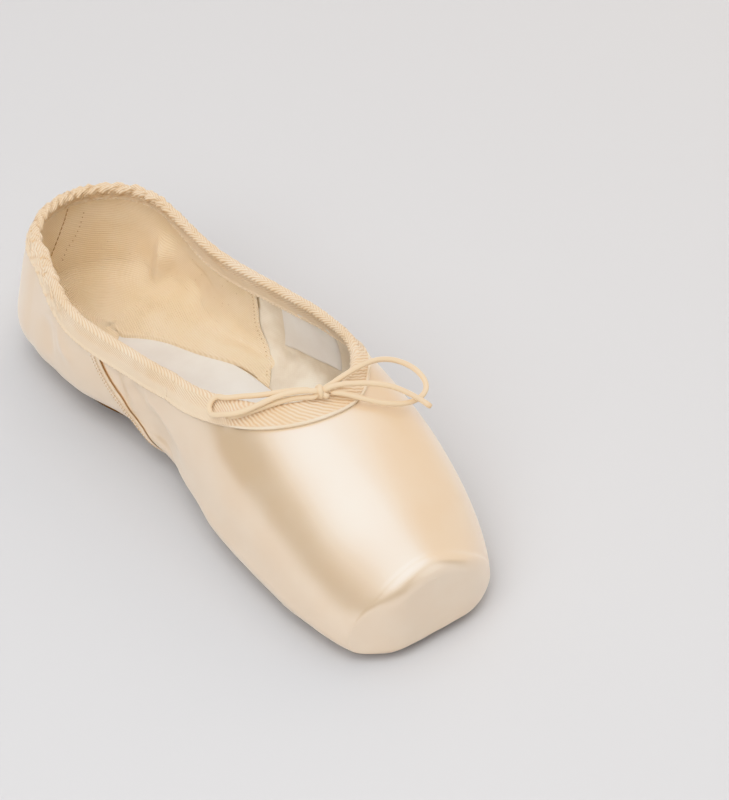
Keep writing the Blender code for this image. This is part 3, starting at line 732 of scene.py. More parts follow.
class Graph:
    """The nodes of one material round a Principled shader."""

    def __init__(self, name: str) -> None:
        """Makes an empty material with its shader and output.

        Args:
            name: the material's name.
        """
        self.material = bpy.data.materials.new(name)
        self.material.use_nodes = True
        self.tree = self.material.node_tree
        self.tree.nodes.clear()
        self.shader = self.node("ShaderNodeBsdfPrincipled")
        output = self.node("ShaderNodeOutputMaterial")
        self.tree.links.new(self.shader.outputs["BSDF"], output.inputs["Surface"])

    def node(self, kind: str, settings: Optional[Mapping[str, Any]] = None,
             inputs: Optional[Mapping[Any, Any]] = None) -> bpy.types.Node:
        """Adds a node.

        Args:
            kind: its type.
            settings: its properties, which are set first.
            inputs: values or signals for its sockets, by name or number.

        Returns:
            The node.
        """
        node = self.tree.nodes.new(kind)
        for name, value in (settings or {}).items():
            setattr(node, name, value)
        for key, value in (inputs or {}).items():
            self.feed(node.inputs[key], value)
        return node

    def feed(self, socket: bpy.types.NodeSocket, value: Any) -> None:
        """Links a signal to a socket, or sets its value.

        Args:
            socket: a node's input.
            value: a signal, a number or a colour.
        """
        if isinstance(value, Signal):
            self.tree.links.new(value.socket, socket)
        elif socket.type == "RGBA" and len(value) == 3:
            socket.default_value = (*value, 1.0)
        else:
            socket.default_value = value

    def place(self) -> Signal:
        """Place on the object, in metres."""
        return Signal(self, self.node("ShaderNodeTexCoord").outputs["Object"])

    def stored(self, name: str) -> tuple[Signal, Signal, Signal]:
        """The three numbers that the mesh stores under a name."""
        kept = self.node("ShaderNodeAttribute", {"attribute_name": name})
        split = self.node("ShaderNodeSeparateXYZ", None, {0: Signal(self, kept.outputs["Vector"])})
        return tuple(Signal(self, split.outputs[i]) for i in range(3))

    def vector(self, x: Signal, y: Signal) -> Signal:
        """Two numbers as one vector."""
        return Signal(self, self.node("ShaderNodeCombineXYZ", None, {0: x, 1: y}).outputs[0])

    def noise(self, where: Signal, scale: float, detail: float = 3.0, rough: float = 0.5) -> Signal:
        """Soft noise from 0 to 1."""
        values = {"Vector": where, "Scale": scale, "Detail": detail, "Roughness": rough}
        return Signal(self, self.node("ShaderNodeTexNoise", {"noise_dimensions": "3D"}, values).outputs[0])

    def mix(self, share: Any, first: Any, second: Any) -> Signal:
        """Mixes two colours, with as much of the second as the share says."""
        node = self.node("ShaderNodeMix", {"data_type": "RGBA"}, {0: share, 6: first, 7: second})
        return Signal(self, node.outputs[2])

    def dress(self, colour: Any, roughness: Any, height: Optional[Signal] = None, depth: float = 0.0002,
              strength: float = 1.0, **constants: Any) -> bpy.types.Material:
        """Joins what was worked out to the shader.

        Args:
            colour: Base Color.
            roughness: Roughness.
            height: relief for the Bump node, from 0 to 1.
            depth: the relief's full depth.
            strength: the Bump node's strength.
            constants: the shader's other sockets, with underscores for spaces.

        Returns:
            The finished material.
        """
        self.feed(self.shader.inputs["Base Color"], colour)
        self.feed(self.shader.inputs["Roughness"], roughness)
        for name, value in constants.items():
            self.feed(self.shader.inputs[name.replace("_", " ")], value)
        if height is not None:
            relief = {"Height": height, "Distance": depth, "Strength": strength}
            bump = self.node("ShaderNodeBump", None, relief)
            self.tree.links.new(bump.outputs["Normal"], self.shader.inputs["Normal"])
        return self.material


# Finishes


@dataclass(frozen=True)
class Satin:
    """Smooth shoe satin: fine floats along the shoe, a broad gloss, a painted pale sheen at its edges, and
    painted shade where its stored tone says.
    """

    name: str = "shoe_satin"
    colour: Colour = (0.74, 0.54, 0.34)
    pale: Colour = (0.76, 0.58, 0.39)
    # Painted sheen: the pale tint that the colour turns to at the satin's edges
    painted_sheen: Colour = (0.98, 0.91, 0.82)
    painted_shade: Colour = (0.50, 0.25, 0.09)
    roughness: float = 0.26
    uneven: float = 0.10
    thread: float = 0.00028
    slub_along: float = 60.0
    slub_across: float = 2600.0
    cloud: float = 55.0
    painted_sheen_share: float = 0.25
    relief: float = 0.00006
    bump: float = 0.35

    def material(self) -> bpy.types.Material:
        """Builds it.

        Returns:
            The material.
        """
        g = Graph(self.name)
        along, across, tone = g.stored("weave")
        slub = g.noise(g.vector(along * self.slub_along, across * self.slub_across), 1.0)
        facing = Signal(g, g.node("ShaderNodeLayerWeight", None, {"Blend": 0.5}).outputs["Facing"])
        # Painted sheen: where the satin turns away from the view, its colour is mixed towards the pale tint;
        # the same share weights the coat
        painted_sheen = facing.between(0.40, 0.90) * self.painted_sheen_share
        cloud = g.noise(g.place(), self.cloud)
        floats = (across * (2 * math.pi / self.thread)).sine() * 0.5 + 0.5
        ground = g.mix(cloud.between(0.3, 0.7), self.colour, self.pale)
        ground = g.mix(slub.between(0.35, 0.75) * 0.10, ground, self.pale)
        ground = g.mix(painted_sheen, ground, self.painted_sheen)
        # Painted shade: the stored tone mixes in the dark colour near the sole, at the seam and under the
        # quarter's folded edge
        colour = g.mix(tone.between(0.0, 1.0), ground, self.painted_shade)
        height = floats * 0.25 + slub * 0.75
        rough = slub * self.uneven + self.roughness
        return g.dress(
            colour, rough, height, self.relief, self.bump, IOR=2.4, Specular_IOR_Level=1.0,
            Coat_Weight=painted_sheen, Coat_Roughness=0.35,
            Sheen_Weight=0.35, Sheen_Roughness=0.35, Sheen_Tint=(1.0, 0.90, 0.77),
        )


class Weave(Enum):
    """How a cotton's ribs run."""

    HERRINGBONE = "herringbone"
    TWILL = "twill"
    PLAIN = "plain"


@dataclass(frozen=True)
class Cotton:
    """Matte cotton with ribs or a plain weave."""

    name: str
    weave: Weave
    colour: Colour
    pale: Colour
    shade: Colour
    pitch: float = 0.0008
    slope: float = 1.0
    relief: float = 0.00022
    contrast: float = 0.5
    bump: float = 0.7
    wander: float = 1.6
    fuzz: float = 2600.0
    cloud: float = 70.0
    plain: Colour = (0.74, 0.60, 0.44)
    plain_from: float = 0.0050
    plain_to: float = 0.0070
    plain_share: float = 0.8

    def material(self) -> bpy.types.Material:
        """Builds it.

        Returns:
            The material.
        """
        g = Graph(self.name)
        along, across, tone = g.stored("weave")
        turn = 2 * math.pi / self.pitch
        wander = g.noise(g.place(), 160.0, 2.0) * self.wander
        if self.weave is Weave.PLAIN:
            one, other = (along * turn).sine(), (across * turn).sine()
            rib = one * other * 0.5 + 0.5
        else:
            lean = abs(across) if self.weave is Weave.HERRINGBONE else across
            rib = ((along + lean * self.slope) * turn + wander).sine() * 0.5 + 0.5
        fuzz = g.noise(g.place(), self.fuzz, 3.0, 0.6)
        cloud = g.noise(g.place(), self.cloud)
        ground = g.mix(cloud.between(0.25, 0.75), self.colour, self.pale)
        plain = 0.0
        if self.weave is Weave.HERRINGBONE:
            plain = abs(across).between(self.plain_from, self.plain_to) * self.plain_share
        shown = 1.0 - plain
        ground = g.mix(plain, ground, self.plain)
        # Painted shade: the shade colour darkens the gaps between the ribs
        lit = g.mix((1.0 - rib) * shown * self.contrast, ground, self.shade)
        lit = g.mix(fuzz.between(0.35, 0.8) * 0.18, lit, self.pale)
        # The stored tone mixes in the shade colour: painted shade in the tape's gathers and at the lining's
        # side seam; elsewhere it darkens stitches, flecks and the insole's edge
        colour = g.mix(tone.between(0.0, 1.0), lit, self.shade)
        height = rib * shown * 0.7 + fuzz * 0.3
        return g.dress(
            colour, 0.82, height, self.relief, self.bump, Specular_IOR_Level=0.25,
            Sheen_Weight=0.25, Sheen_Roughness=0.5, Sheen_Tint=(1.0, 0.96, 0.9),
        )


TAPE_TWILL = Cotton(
    "collar_twill", Weave.HERRINGBONE,
    colour=(0.83, 0.66, 0.46), pale=(0.91, 0.79, 0.63), shade=(0.57, 0.35, 0.17),
    pitch=0.0019, slope=2.0, contrast=0.7, relief=0.0004,
)
LINING_TWILL = Cotton(
    "lining_twill", Weave.TWILL,
    colour=(0.84, 0.69, 0.49), pale=(0.89, 0.76, 0.58), shade=(0.62, 0.42, 0.22),
    pitch=0.0048, slope=5.0, contrast=0.3, relief=0.0003,
)
VAMP_CANVAS = Cotton(
    "vamp_canvas", Weave.PLAIN,
    colour=(0.64, 0.54, 0.42), pale=(0.88, 0.82, 0.71), shade=(0.56, 0.44, 0.30),
    pitch=0.0011, contrast=0.15, relief=0.0001, bump=0.4,
)
WHITE_SOCK = Cotton(
    "white_sock", Weave.PLAIN,
    colour=(0.72, 0.68, 0.63), pale=(0.78, 0.75, 0.71), shade=(0.60, 0.53, 0.46),
    pitch=0.0007, contrast=0.06, relief=0.00006, bump=0.3,
)
SEWING_THREAD = Cotton(
    "sewing_thread", Weave.TWILL,
    colour=(0.82, 0.68, 0.50), pale=(0.90, 0.80, 0.66), shade=(0.55, 0.38, 0.22),
    pitch=0.0004, contrast=0.2, relief=0.0001,
)


@dataclass(frozen=True)
class Leather:
    """Split leather: fine grain, pores, and a rubbed face."""

    name: str = "sole_leather"
    colour: Colour = (0.36, 0.215, 0.115)
    rubbed: Colour = (0.52, 0.36, 0.22)
    edge: Colour = (0.30, 0.16, 0.08)
    pores: float = 900.0
    cloud: float = 60.0
    streak: float = 420.0

    def material(self) -> bpy.types.Material:
        """Builds it.

        Returns:
            The material.
        """
        g = Graph(self.name)
        _, _, tone = g.stored("weave")
        pores = {"Vector": g.place(), "Scale": self.pores}
        cells = g.node("ShaderNodeTexVoronoi", {"feature": "DISTANCE_TO_EDGE"}, pores)
        grain = Signal(g, cells.outputs["Distance"]).between(0.0, 0.25)
        cloud = g.noise(g.place(), self.cloud, 5.0, 0.6)
        streak = g.noise(g.place(), self.streak, 4.0, 0.7)
        colour = g.mix(cloud.between(0.35, 0.7) * 0.7, self.colour, self.rubbed)
        colour = g.mix(streak.between(0.5, 0.8) * 0.25, colour, self.edge)
        colour = g.mix(tone.between(0.0, 1.0), colour, self.edge)
        rough = streak * 0.2 + 0.55
        height = grain * 0.5 + streak * 0.5
        return g.dress(colour, rough, height, 0.0002, 0.5, Specular_IOR_Level=0.35)


@dataclass(frozen=True)
class Elastic:
    """Round cotton-covered elastic: fine braided ribs round a soft core."""

    name: str = "drawstring_elastic"
    colour: Colour = (0.77, 0.58, 0.37)
    pale: Colour = (0.85, 0.70, 0.51)
    shade: Colour = (0.57, 0.34, 0.16)
    pitch: float = 0.00055
    fuzz: float = 3000.0

    def material(self) -> bpy.types.Material:
        """Builds it.

        Returns:
            The material.
        """
        g = Graph(self.name)
        along, across, tone = g.stored("weave")
        turn = 2 * math.pi / self.pitch
        one = ((along + across) * turn).sine()
        other = ((along - across) * turn).sine()
        braid = one * other * 0.5 + 0.5
        fuzz = g.noise(g.place(), self.fuzz, 2.0)
        colour = g.mix(braid * 0.45 + fuzz * 0.35, self.colour, self.pale)
        colour = g.mix(tone.between(0.0, 1.0), colour, self.shade)
        return g.dress(
            colour, 0.62, braid * 0.8 + fuzz * 0.2, 0.00012, 0.5, Specular_IOR_Level=0.35,
            Sheen_Weight=0.3, Sheen_Roughness=0.4,
        )


# Meshes


# Points of a mesh that lie closer than this are joined
WELD = 2e-6


def link(name: str, data: bpy.types.ID) -> bpy.types.Object:
    """Adds an object with this data to the scene.

    Args:
        name: its name.
        data: its mesh, light or camera.

    Returns:
        The object.
    """
    added = bpy.data.objects.new(name, data)
    bpy.context.scene.collection.objects.link(added)
    return added


def grid_faces(rows: int, columns: int, start: int = 0, round_rows: bool = False,
               round_columns: bool = False) -> Array:
    """Quads between neighbouring places of a grid whose points are numbered row by row.

    Args:
        rows: how many rows.
        columns: how many columns.
        start: the number of the first point.
        round_rows: whether the last row meets the first.
        round_columns: whether the last column meets the first.

    Returns:
        Four numbers of points for each quad.
    """
    i = np.arange(rows if round_rows else rows - 1)[:, None]
    j = np.arange(columns if round_columns else columns - 1)[None, :]
    a = start + i * columns + j
    b = start + ((i + 1) % rows) * columns + j
    d = start + i * columns + (j + 1) % columns
    c = start + ((i + 1) % rows) * columns + (j + 1) % columns
    return np.stack(np.broadcast_arrays(a, b, c, d), -1).reshape(-1, 4)


class Cloth:
    """Gathers grids of points into one mesh that stores its weave."""

    def __init__(self) -> None:
        """Starts empty."""
        self.points: list[Array] = []
        self.weave: list[Array] = []
        self.faces: list[Array] = []
        self.count = 0

    def add(self, points: Array, weave: Array, round_rows: bool = False, round_columns: bool = False,
            flip: bool = False) -> None:
        """Adds a grid.

        Args:
            points: rows by columns by three.
            weave: distance along, distance across and tone of each point.
            round_rows: whether the last row meets the first.
            round_columns: whether the last column meets the first.
            flip: whether the faces turn the other way.
        """
        rows, columns = points.shape[:2]
        faces = grid_faces(rows, columns, self.count, round_rows, round_columns)
        self.faces.append(faces[:, ::-1] if flip else faces)
        self.points.append(points.reshape(-1, 3))
        self.weave.append(np.broadcast_to(weave, points.shape).reshape(-1, 3))
        self.count += rows * columns

    def add_faces(self, points: Array, weave: Array, faces: Array) -> None:
        """Adds points with their own faces.

        Args:
            points: the points.
            weave: their weave.
            faces: numbers of the points round each face.
        """
        self.points.append(points)
        self.weave.append(weave)
        self.faces.append(faces + self.count)
        self.count += len(points)

    def mesh(self, name: str, weld: float) -> bpy.types.Mesh:
        """Builds the mesh, joining points that lie within the weld distance.

        Args:
            name: its name.
            weld: the distance; 0 leaves all points.

        Returns:
            The mesh.
        """
        mesh = bpy.data.meshes.new(name)
        points = np.concatenate(self.points)
        mesh.from_pydata(points.tolist(), [], [f.tolist() for part in self.faces for f in part])
        store = mesh.attributes.new("weave", "FLOAT_VECTOR", "POINT")
        store.data.foreach_set("vector", np.concatenate(self.weave).astype(np.float32).ravel())
        if weld:
            work = bmesh.new()
            work.from_mesh(mesh)
            bmesh.ops.remove_doubles(work, verts=work.verts[:], dist=weld)
            bmesh.ops.dissolve_degenerate(work, edges=work.edges[:], dist=1e-7)
            work.to_mesh(mesh)
            work.free()
        mesh.shade_smooth()
        return mesh

    def piece(self, name: str, material: bpy.types.Material, slot: str, replaces: Sequence[str] = (),
              weld: float = 0.0) -> bpy.types.Object:
        """Builds the mesh and links it to the scene as a piece of the shoe.

        Args:
            name: the piece's name.
            material: its finish.
            slot: the name of a material slot; not used.
            replaces: the CAD nodes that it stands for.
            weld: the distance at which points are joined.

        Returns:
            The piece.
        """
        mesh = self.mesh(name, weld)
        mesh.materials.append(material)
        piece = link(name, mesh)
        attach(piece, "root")
        if replaces:
            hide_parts(*replaces)
        return piece


def tube(path: Array, radius: Array, sides: int = 14) -> tuple[Array, Array]:
    """A round tube along a path, closed with round ends.

    Args:
        path: points along its middle.
        radius: its radius at each point.
        sides: how many sides it has.

    Returns:
        A grid of points, one ring for each place, and its weave.
    """
    tangent = unit(np.gradient(path, axis=0))
    normal = unit(np.cross(tangent[0], (0.0, 0.0, 1.0)))
    rings, around = [], np.linspace(0.0, 2 * math.pi, sides, endpoint=False)
    for place, way, size in zip(path, tangent, radius):
        normal = unit(normal - way * (normal @ way))
        other = np.cross(way, normal)
        rings.append(place + size * (np.cos(around)[:, None] * normal + np.sin(around)[:, None] * other))
    grid = np.array(rings)
    along = np.broadcast_to(arc_length(path)[:, None], grid.shape[:2])
    across = np.broadcast_to(around * float(np.max(radius)), grid.shape[:2])
    return grid, np.stack([along, across, np.zeros_like(along)], -1)


@dataclass(frozen=True)
class Stitch:
    """One kind of stitch: short raised threads whose ends go down into the cloth.

    Its pitch runs from stitch to stitch, and its thread's middle is sunk under the cloth's face.
    """

    pitch: float
    length: float
    width: float
    sunk: float
    tone: float
    sides: int = 6
    rings: int = 5
    fullness: float = 0.93
    rise: float = 0.45
    dip: float = 0.35
    tip: float = 0.35

    def sew(self, cloth: Cloth, path: Array, normals: Array) -> None:
        """Sews a row of them.

        Args:
            cloth: the mesh that they join.
            path: points along the row, close together.
            normals: the cloth's normals at those points.
        """
        along = arc_length(path)
        sides = np.linspace(0.0, 2 * math.pi, self.sides, endpoint=False)
        beats = np.linspace(-1.0, 1.0, self.rings)
        swell = np.sqrt(np.clip(1.0 - (self.fullness * beats) ** 4, 0.0, 1.0))
        size = self.width / 2 * (self.tip + (1.0 - self.tip) * swell)
        height = self.width * self.rise * swell - self.width * self.dip * beats**2 - self.sunk
        for middle in np.arange(self.pitch / 2, along[-1] - self.pitch / 2, self.pitch):
            at = middle + beats * self.length / 2
            spot = np.stack([np.interp(at, along, path[:, k]) for k in range(3)], 1)
            up = unit(np.stack([np.interp(middle, along, normals[:, k]) for k in range(3)]))
            out = np.cross(unit(spot[-1] - spot[0]), up)
            ring = np.cos(sides)[None, :, None] * out + np.sin(sides)[None, :, None] * up
            grid = spot[:, None, :] + height[:, None, None] * up + ring * size[:, None, None]
            weave = np.zeros(grid.shape)
            weave[..., 0] = at[:, None]
            weave[..., 2] = self.tone
            cloth.add(grid, weave, round_columns=True)


# The upper


@dataclass(frozen=True)
class Seam:
    """The side seam, where the quarter's folded edge lies over the vamp."""

    top: float = 0.0755
    sweep: float = 0.0445
    reach: float = 1.1
    start: float = 1.0
    lift: float = 0.0007
    band: float = 0.0065
    ramp: float = 0.0025
    lean: float = 0.004
    tucks_in: float = 0.90
    fade: float = 0.08
    rises_at: float = 2.2
    strip: tuple[float, ...] = (0.0021, 0.0037)
    strip_lift: float = 0.0003
    strip_edge: float = 0.0003

    @property
    def foot(self) -> float:
        """Station where the seam goes under the sole."""
        return self.top + self.sweep

    def shift(self, t: Array) -> Array:
        """How far forward of its top the seam has run; t is 0 underneath and 1 at the collar."""
        return self.sweep * smooth_step((self.start - t) / self.reach)

    def shown(self, t: Array) -> Array:
        """1 where the step shows, 0 under the tape and over the sole."""
        return smooth_step((self.tucks_in - t) / self.fade) * smooth_step(t / self.fade - self.rises_at)

    def quarter_lift(self, behind: Array) -> Array:
        """Height of the quarter's cloth over the vamp.

        Args:
            behind: distances behind the folded edge.

        Returns:
            The heights.
        """
        near, far = self.strip
        strip = smooth_step((behind - near) / self.strip_edge + 1.0)
        strip = strip * smooth_step((far - behind) / self.strip_edge + 1.0)
        return self.lift * smooth_step((self.band - behind) / self.ramp) + self.strip_lift * strip


SATIN_SEAM = Seam()
LINING_SEAM = Seam(top=0.0805, sweep=0.0240, reach=0.7, start=0.6, lift=0.0004, strip_lift=0.0)


@dataclass
class UpperShell:
    """The satin outside and the cotton inside, on one grid of stations and shares."""

    last: Last
    seam: Seam
    across: int = 96
    heel_rows: int = 30
    quarter_rows: int = 52
    band_rows: int = 44
    seam_rows: tuple[float, ...] = (-0.0022, -0.0012, -0.0006)
    seam_step: float = 0.00025
    seam_steps: int = 9
    vamp_rows: int = 44
    mouth_rows: int = 8
    throat_rows: int = 56
    box_rows: int = 30
    front_rows: int = 26
    tip_rows: int = 14

    def quarter_ends(self) -> list[tuple[float, float]]:
        """Top and underside stations of the rows from the heel's middle to the seam's band.

        Returns:
            A pair of stations for each row.
        """
        last = self.last
        heel = [(u, u) for u in np.linspace(0.0, last.heel_radius, self.heel_rows)]
        share, seam = np.linspace(0.0, 1.0, self.quarter_rows)[1:], self.seam
        top, foot = seam.top - seam.band, seam.foot - seam.band
        behind = [(last.heel_radius + a * (top - last.heel_radius),
                   last.heel_radius + a * (foot - last.heel_radius)) for a in share]
        band = [(seam.top - d, seam.foot - d) for d in np.linspace(seam.band, 0.0, self.band_rows)[1:]]
        return heel + behind + band

    def vamp_ends(self) -> list[tuple[float, float]]:
        """Top and underside stations of the rows from just behind the seam to the toe's tip.

        Returns:
            A pair of stations for each row.
        """
        last, seam = self.last, self.seam
        near = np.concatenate([self.seam_rows, np.arange(self.seam_steps) * self.seam_step])
        under = [(seam.top + d, seam.foot + d) for d in near]
        top, foot = under[-1]
        share = np.linspace(0.0, 1.0, self.vamp_rows)[1:]
        ahead = [(top + a * (last.throat_start - top), foot + a * (last.throat_start + seam.lean - foot))
                 for a in share]
        throat = easing_out(last.throat_start, last.throat_front, self.throat_rows)
        settle = seam.lean * (last.throat_front - throat) / (last.throat_front - last.throat_start)
        straight = [(u, u + extra) for u, extra in zip(throat, settle)]
        box = np.concatenate([
            np.linspace(last.throat_front, last.sole_round_start, self.mouth_rows)[1:],
            easing_out(last.sole_round_start, last.opening_front, self.box_rows),
            np.linspace(last.opening_front, last.tip_start, self.front_rows)[1:],
            np.linspace(last.tip_start, last.station_end, self.tip_rows)[1:],
        ])
        return under + ahead + straight + [(u, u) for u in box]

    def grid(self, ends: Sequence[tuple[float, float]]) -> tuple[Array, Array, Array]:
        """Stations, shares and t of a grid on one side.

        Args:
            ends: top and underside stations of its rows.

        Returns:
            The stations, the shares along the section, and t from edge to edge.
        """
        table = np.array(ends)
        t = np.linspace(0.0, 1.0, self.across)[None, :]
        top, foot = table[:, :1], table[:, 1:]
        u = top + (foot - top) * smooth_step((self.seam.start - t) / self.seam.reach)
        low, high = np.empty_like(u), np.empty_like(u)
        for i, row in enumerate(u):
            low[i], high[i] = self.last.opening_share(row), self.last.collar_share(row)
        return u, low + t * (high - low), np.broadcast_to(t, u.shape)


@dataclass(frozen=True)
class Pleats:
    """The gathers that fan out under the toe from the sole's front."""

    count: int = 26
    depth: float = 0.00022
    middle: float = 0.186
    sideways: float = -0.0045
    top: float = 0.0048
    top_fade: float = 0.0018
    inner: float = 0.016
    inner_fade: float = 0.006
    start: float = 0.188
    start_fade: float = 0.016
    uneven: float = 0.8
    uneven_beats: int = 5
    sharpness: float = 0.6

    def at(self, points: Array, from_heel: Array) -> Array:
        """Height of the gathers.

        Args:
            points: places on the satin.
            from_heel: their distances from the heel.

        Returns:
            The heights.
        """
        x, ahead = points[..., 0] - self.sideways, from_heel - self.middle
        angle, away = np.arctan2(x, ahead), np.hypot(x, ahead)
        low = smooth_step((self.top - points[..., 2]) / self.top_fade)
        span = smooth_step((away - self.inner) / self.inner_fade)
        span = span * smooth_step((from_heel - self.start) / self.start_fade)
        wave = np.sin(angle * self.count + self.uneven * np.sin(self.uneven_beats * angle))
        return self.depth * (np.abs(wave) ** self.sharpness * np.sign(wave)) * low * span


# How the quarter's folded edge rolls under: how far ahead, its height as a share of the step, and its tone, a
# painted shade that deepens as the edge rolls under
FOLDED_EDGE: Rows = ((0.00004, 0.30, 0.0), (-0.00004, 0.10, 0.15), (-0.0004, 0.0, 0.7), (-0.0012, -0.05, 1.0))


@dataclass
class SatinUpper:
    """The satin: two quarters sewn over a vamp that is drawn smooth over the box."""

    last: Last
    shell: UpperShell
    satin: bpy.types.Material
    thread: bpy.types.Material
    ripple: Ripple = Ripple(0.045, 0.00012, seed=4)
    pleats: Pleats = Pleats()
    stitch: Stitch = Stitch(0.0012, 0.0008, 0.0003, 0.00006, 0.7)
    stitched: tuple[float, float] = (0.20, 0.90)
    middle_column: int = 50
    loose_until: float = 0.150
    loose_fade: float = 0.03
    loose_above: float = 0.009
    loose_rise: float = 0.006
    painted_under_shade: float = 0.35
    quarter_shade: tuple[float, float] = (0.0075, 0.003)
    vamp_shade: tuple[float, float] = (0.0062, 0.0022)
    crack: float = 0.0004
    crack_more: float = 0.0006
    crack_from: float = 0.25
    crack_over: float = 0.5
    edge_start: float = 0.75
    platform_rows: int = 30

    def dressed(self, side: float, u: Array, q: Array, lift: Array) -> tuple[Array, Array]:
        """Satin on one side, with folds, ripples and pleats.

        Args:
            side: 1 is the wearer's left, -1 the right.
            u: stations.
            q: shares along the section.
            lift: heights over the last.

        Returns:
            The points and their normals.
        """
        last, sides = self.last, np.full_like(u, side)
        points, normals = last.surface(sides, u, q), last.normals(sides, u, q)
        smooth = smooth_step((self.loose_until - u) / self.loose_fade)
        free = smooth_step((points[..., 2] - self.loose_above) / self.loose_rise)
        move = lift + self.ripple.at(points) * smooth * free + folded(points, WALL_FOLDS + SATIN_FOLDS)
        move = move + self.pleats.at(points, last.length / 2 - points[..., 1])
        return points + normals * move[..., None], normals

    def shade(self, points: Array, where: tuple[float, float]) -> Array:
        """Painted shade that darkens the satin near the sole; where says below which height, and how softly.
        """
        return smooth_step((where[0] - points[..., 2]) / where[1]) * self.painted_under_shade

    def weave(self, u: Array, q: Array, tone: Array) -> Array:
        """Distance along and across the satin, and its tone."""
        return np.stack([u, q * self.last.girth(u), tone], -1)

    def quarters(self, sewn: Cloth) -> bpy.types.Object:
        """Builds both quarters.

        Args:
            sewn: the mesh that takes the seam's stitches.

        Returns:
            The piece.
        """
        cloth, seam = Cloth(), self.shell.seam
        u, q, t = self.shell.grid(self.shell.quarter_ends())
        behind, foot = seam.top + seam.shift(t) - u, seam.top + seam.shift(t[:1])
        lift = seam.quarter_lift(behind) * seam.shown(t)
        for side in (1.0, -1.0):
            points, normals = self.dressed(side, u, q, lift)
            for distance in seam.strip:
                row = int(np.abs(behind[:, self.middle_column] - distance).argmin())
                seen = (t[row] > self.stitched[0]) & (t[row] < self.stitched[1])
                self.stitch.sew(sewn, points[row][seen], normals[row][seen])
            rolled, weave = [points], [self.weave(u, q, self.shade(points, self.quarter_shade))]
            forward = unit(points[-1:] - points[-3:-2])
            # The rolled rows take the table's painted shade as their tone
            for ahead, share, tone in FOLDED_EDGE:
                drop = seam.lift * (share - self.edge_start) * seam.shown(t[-1:])
                rolled.append(points[-1:] + forward * ahead + normals[-1:] * drop[..., None])
                weave.append(self.weave(foot, q[-1:], np.full_like(foot, tone)))
            cloth.add(np.concatenate(rolled), np.concatenate(weave), flip=side < 0)
        return cloth.piece("satin_quarters", self.satin, "satin", ["upper"], WELD)

    def vamp(self) -> bpy.types.Object:
        """Builds the vamp, closed by the toe's platform.

        Returns:
            The piece.
        """
        cloth, seam, last = Cloth(), self.shell.seam, self.last
        u, q, t = self.shell.grid(self.shell.vamp_ends())
        ahead = np.clip(u - seam.top - seam.shift(t), 0.0, None)
        # Painted shadow on the vamp just ahead of the seam, where it goes under the quarter's folded edge;
        # the band widens towards the collar
        crack = self.crack + self.crack_more * smooth_step((t - self.crack_from) / self.crack_over)
        painted_seam_shadow = np.exp(-((ahead / crack) ** 4)) * seam.shown(t)
        inwards = np.linspace(0.0, 1.0, self.platform_rows)[:, None, None]
        for side in (1.0, -1.0):
            points, _ = self.dressed(side, u, q, np.zeros_like(u))
            tone = np.maximum(painted_seam_shadow, self.shade(points, self.vamp_shade))
            cloth.add(points, self.weave(u, q, tone), flip=side < 0)
            end, spine = points[-1:], points[-1:].copy()
            spine[..., 0] = end[0, 0, 0]
            close = end + (spine - end) * inwards
            full = np.full(close.shape[:2], last.length)
            close[..., 1] = last.length / 2 - last.faceted(full, close[..., 0], close[..., 2])
            close[0] = end[0]
            cloth.add(close, self.weave(u[-1:], q[-1:], np.zeros_like(u[-1:])), flip=side < 0)
        return cloth.piece("satin_vamp", self.satin, "satin", ["upper"], WELD)

    def build(self) -> list[bpy.types.Object]:
        """Builds quarters, vamp and the seam's stitches.

        Returns:
            The three pieces.
        """
        sewn = Cloth()
        pieces = [self.quarters(sewn), self.vamp()]
        return pieces + [sewn.piece("seam_stitching", self.thread, "cord")]


# Rows of the lining's stitches: station, negative on the wearer's right, and share of the wall's height
BACK_SEAM: Rows = ((0.0006, 0.93), (-0.0007, 0.75), (-0.0024, 0.64), (-0.0044, 0.55), (-0.0068, 0.45))
NEEDLE_HOLES: Rows = ((0.0052, 0.78), (0.0036, 0.64), (0.0020, 0.56), (-0.0003, 0.50), (-0.0026, 0.38))


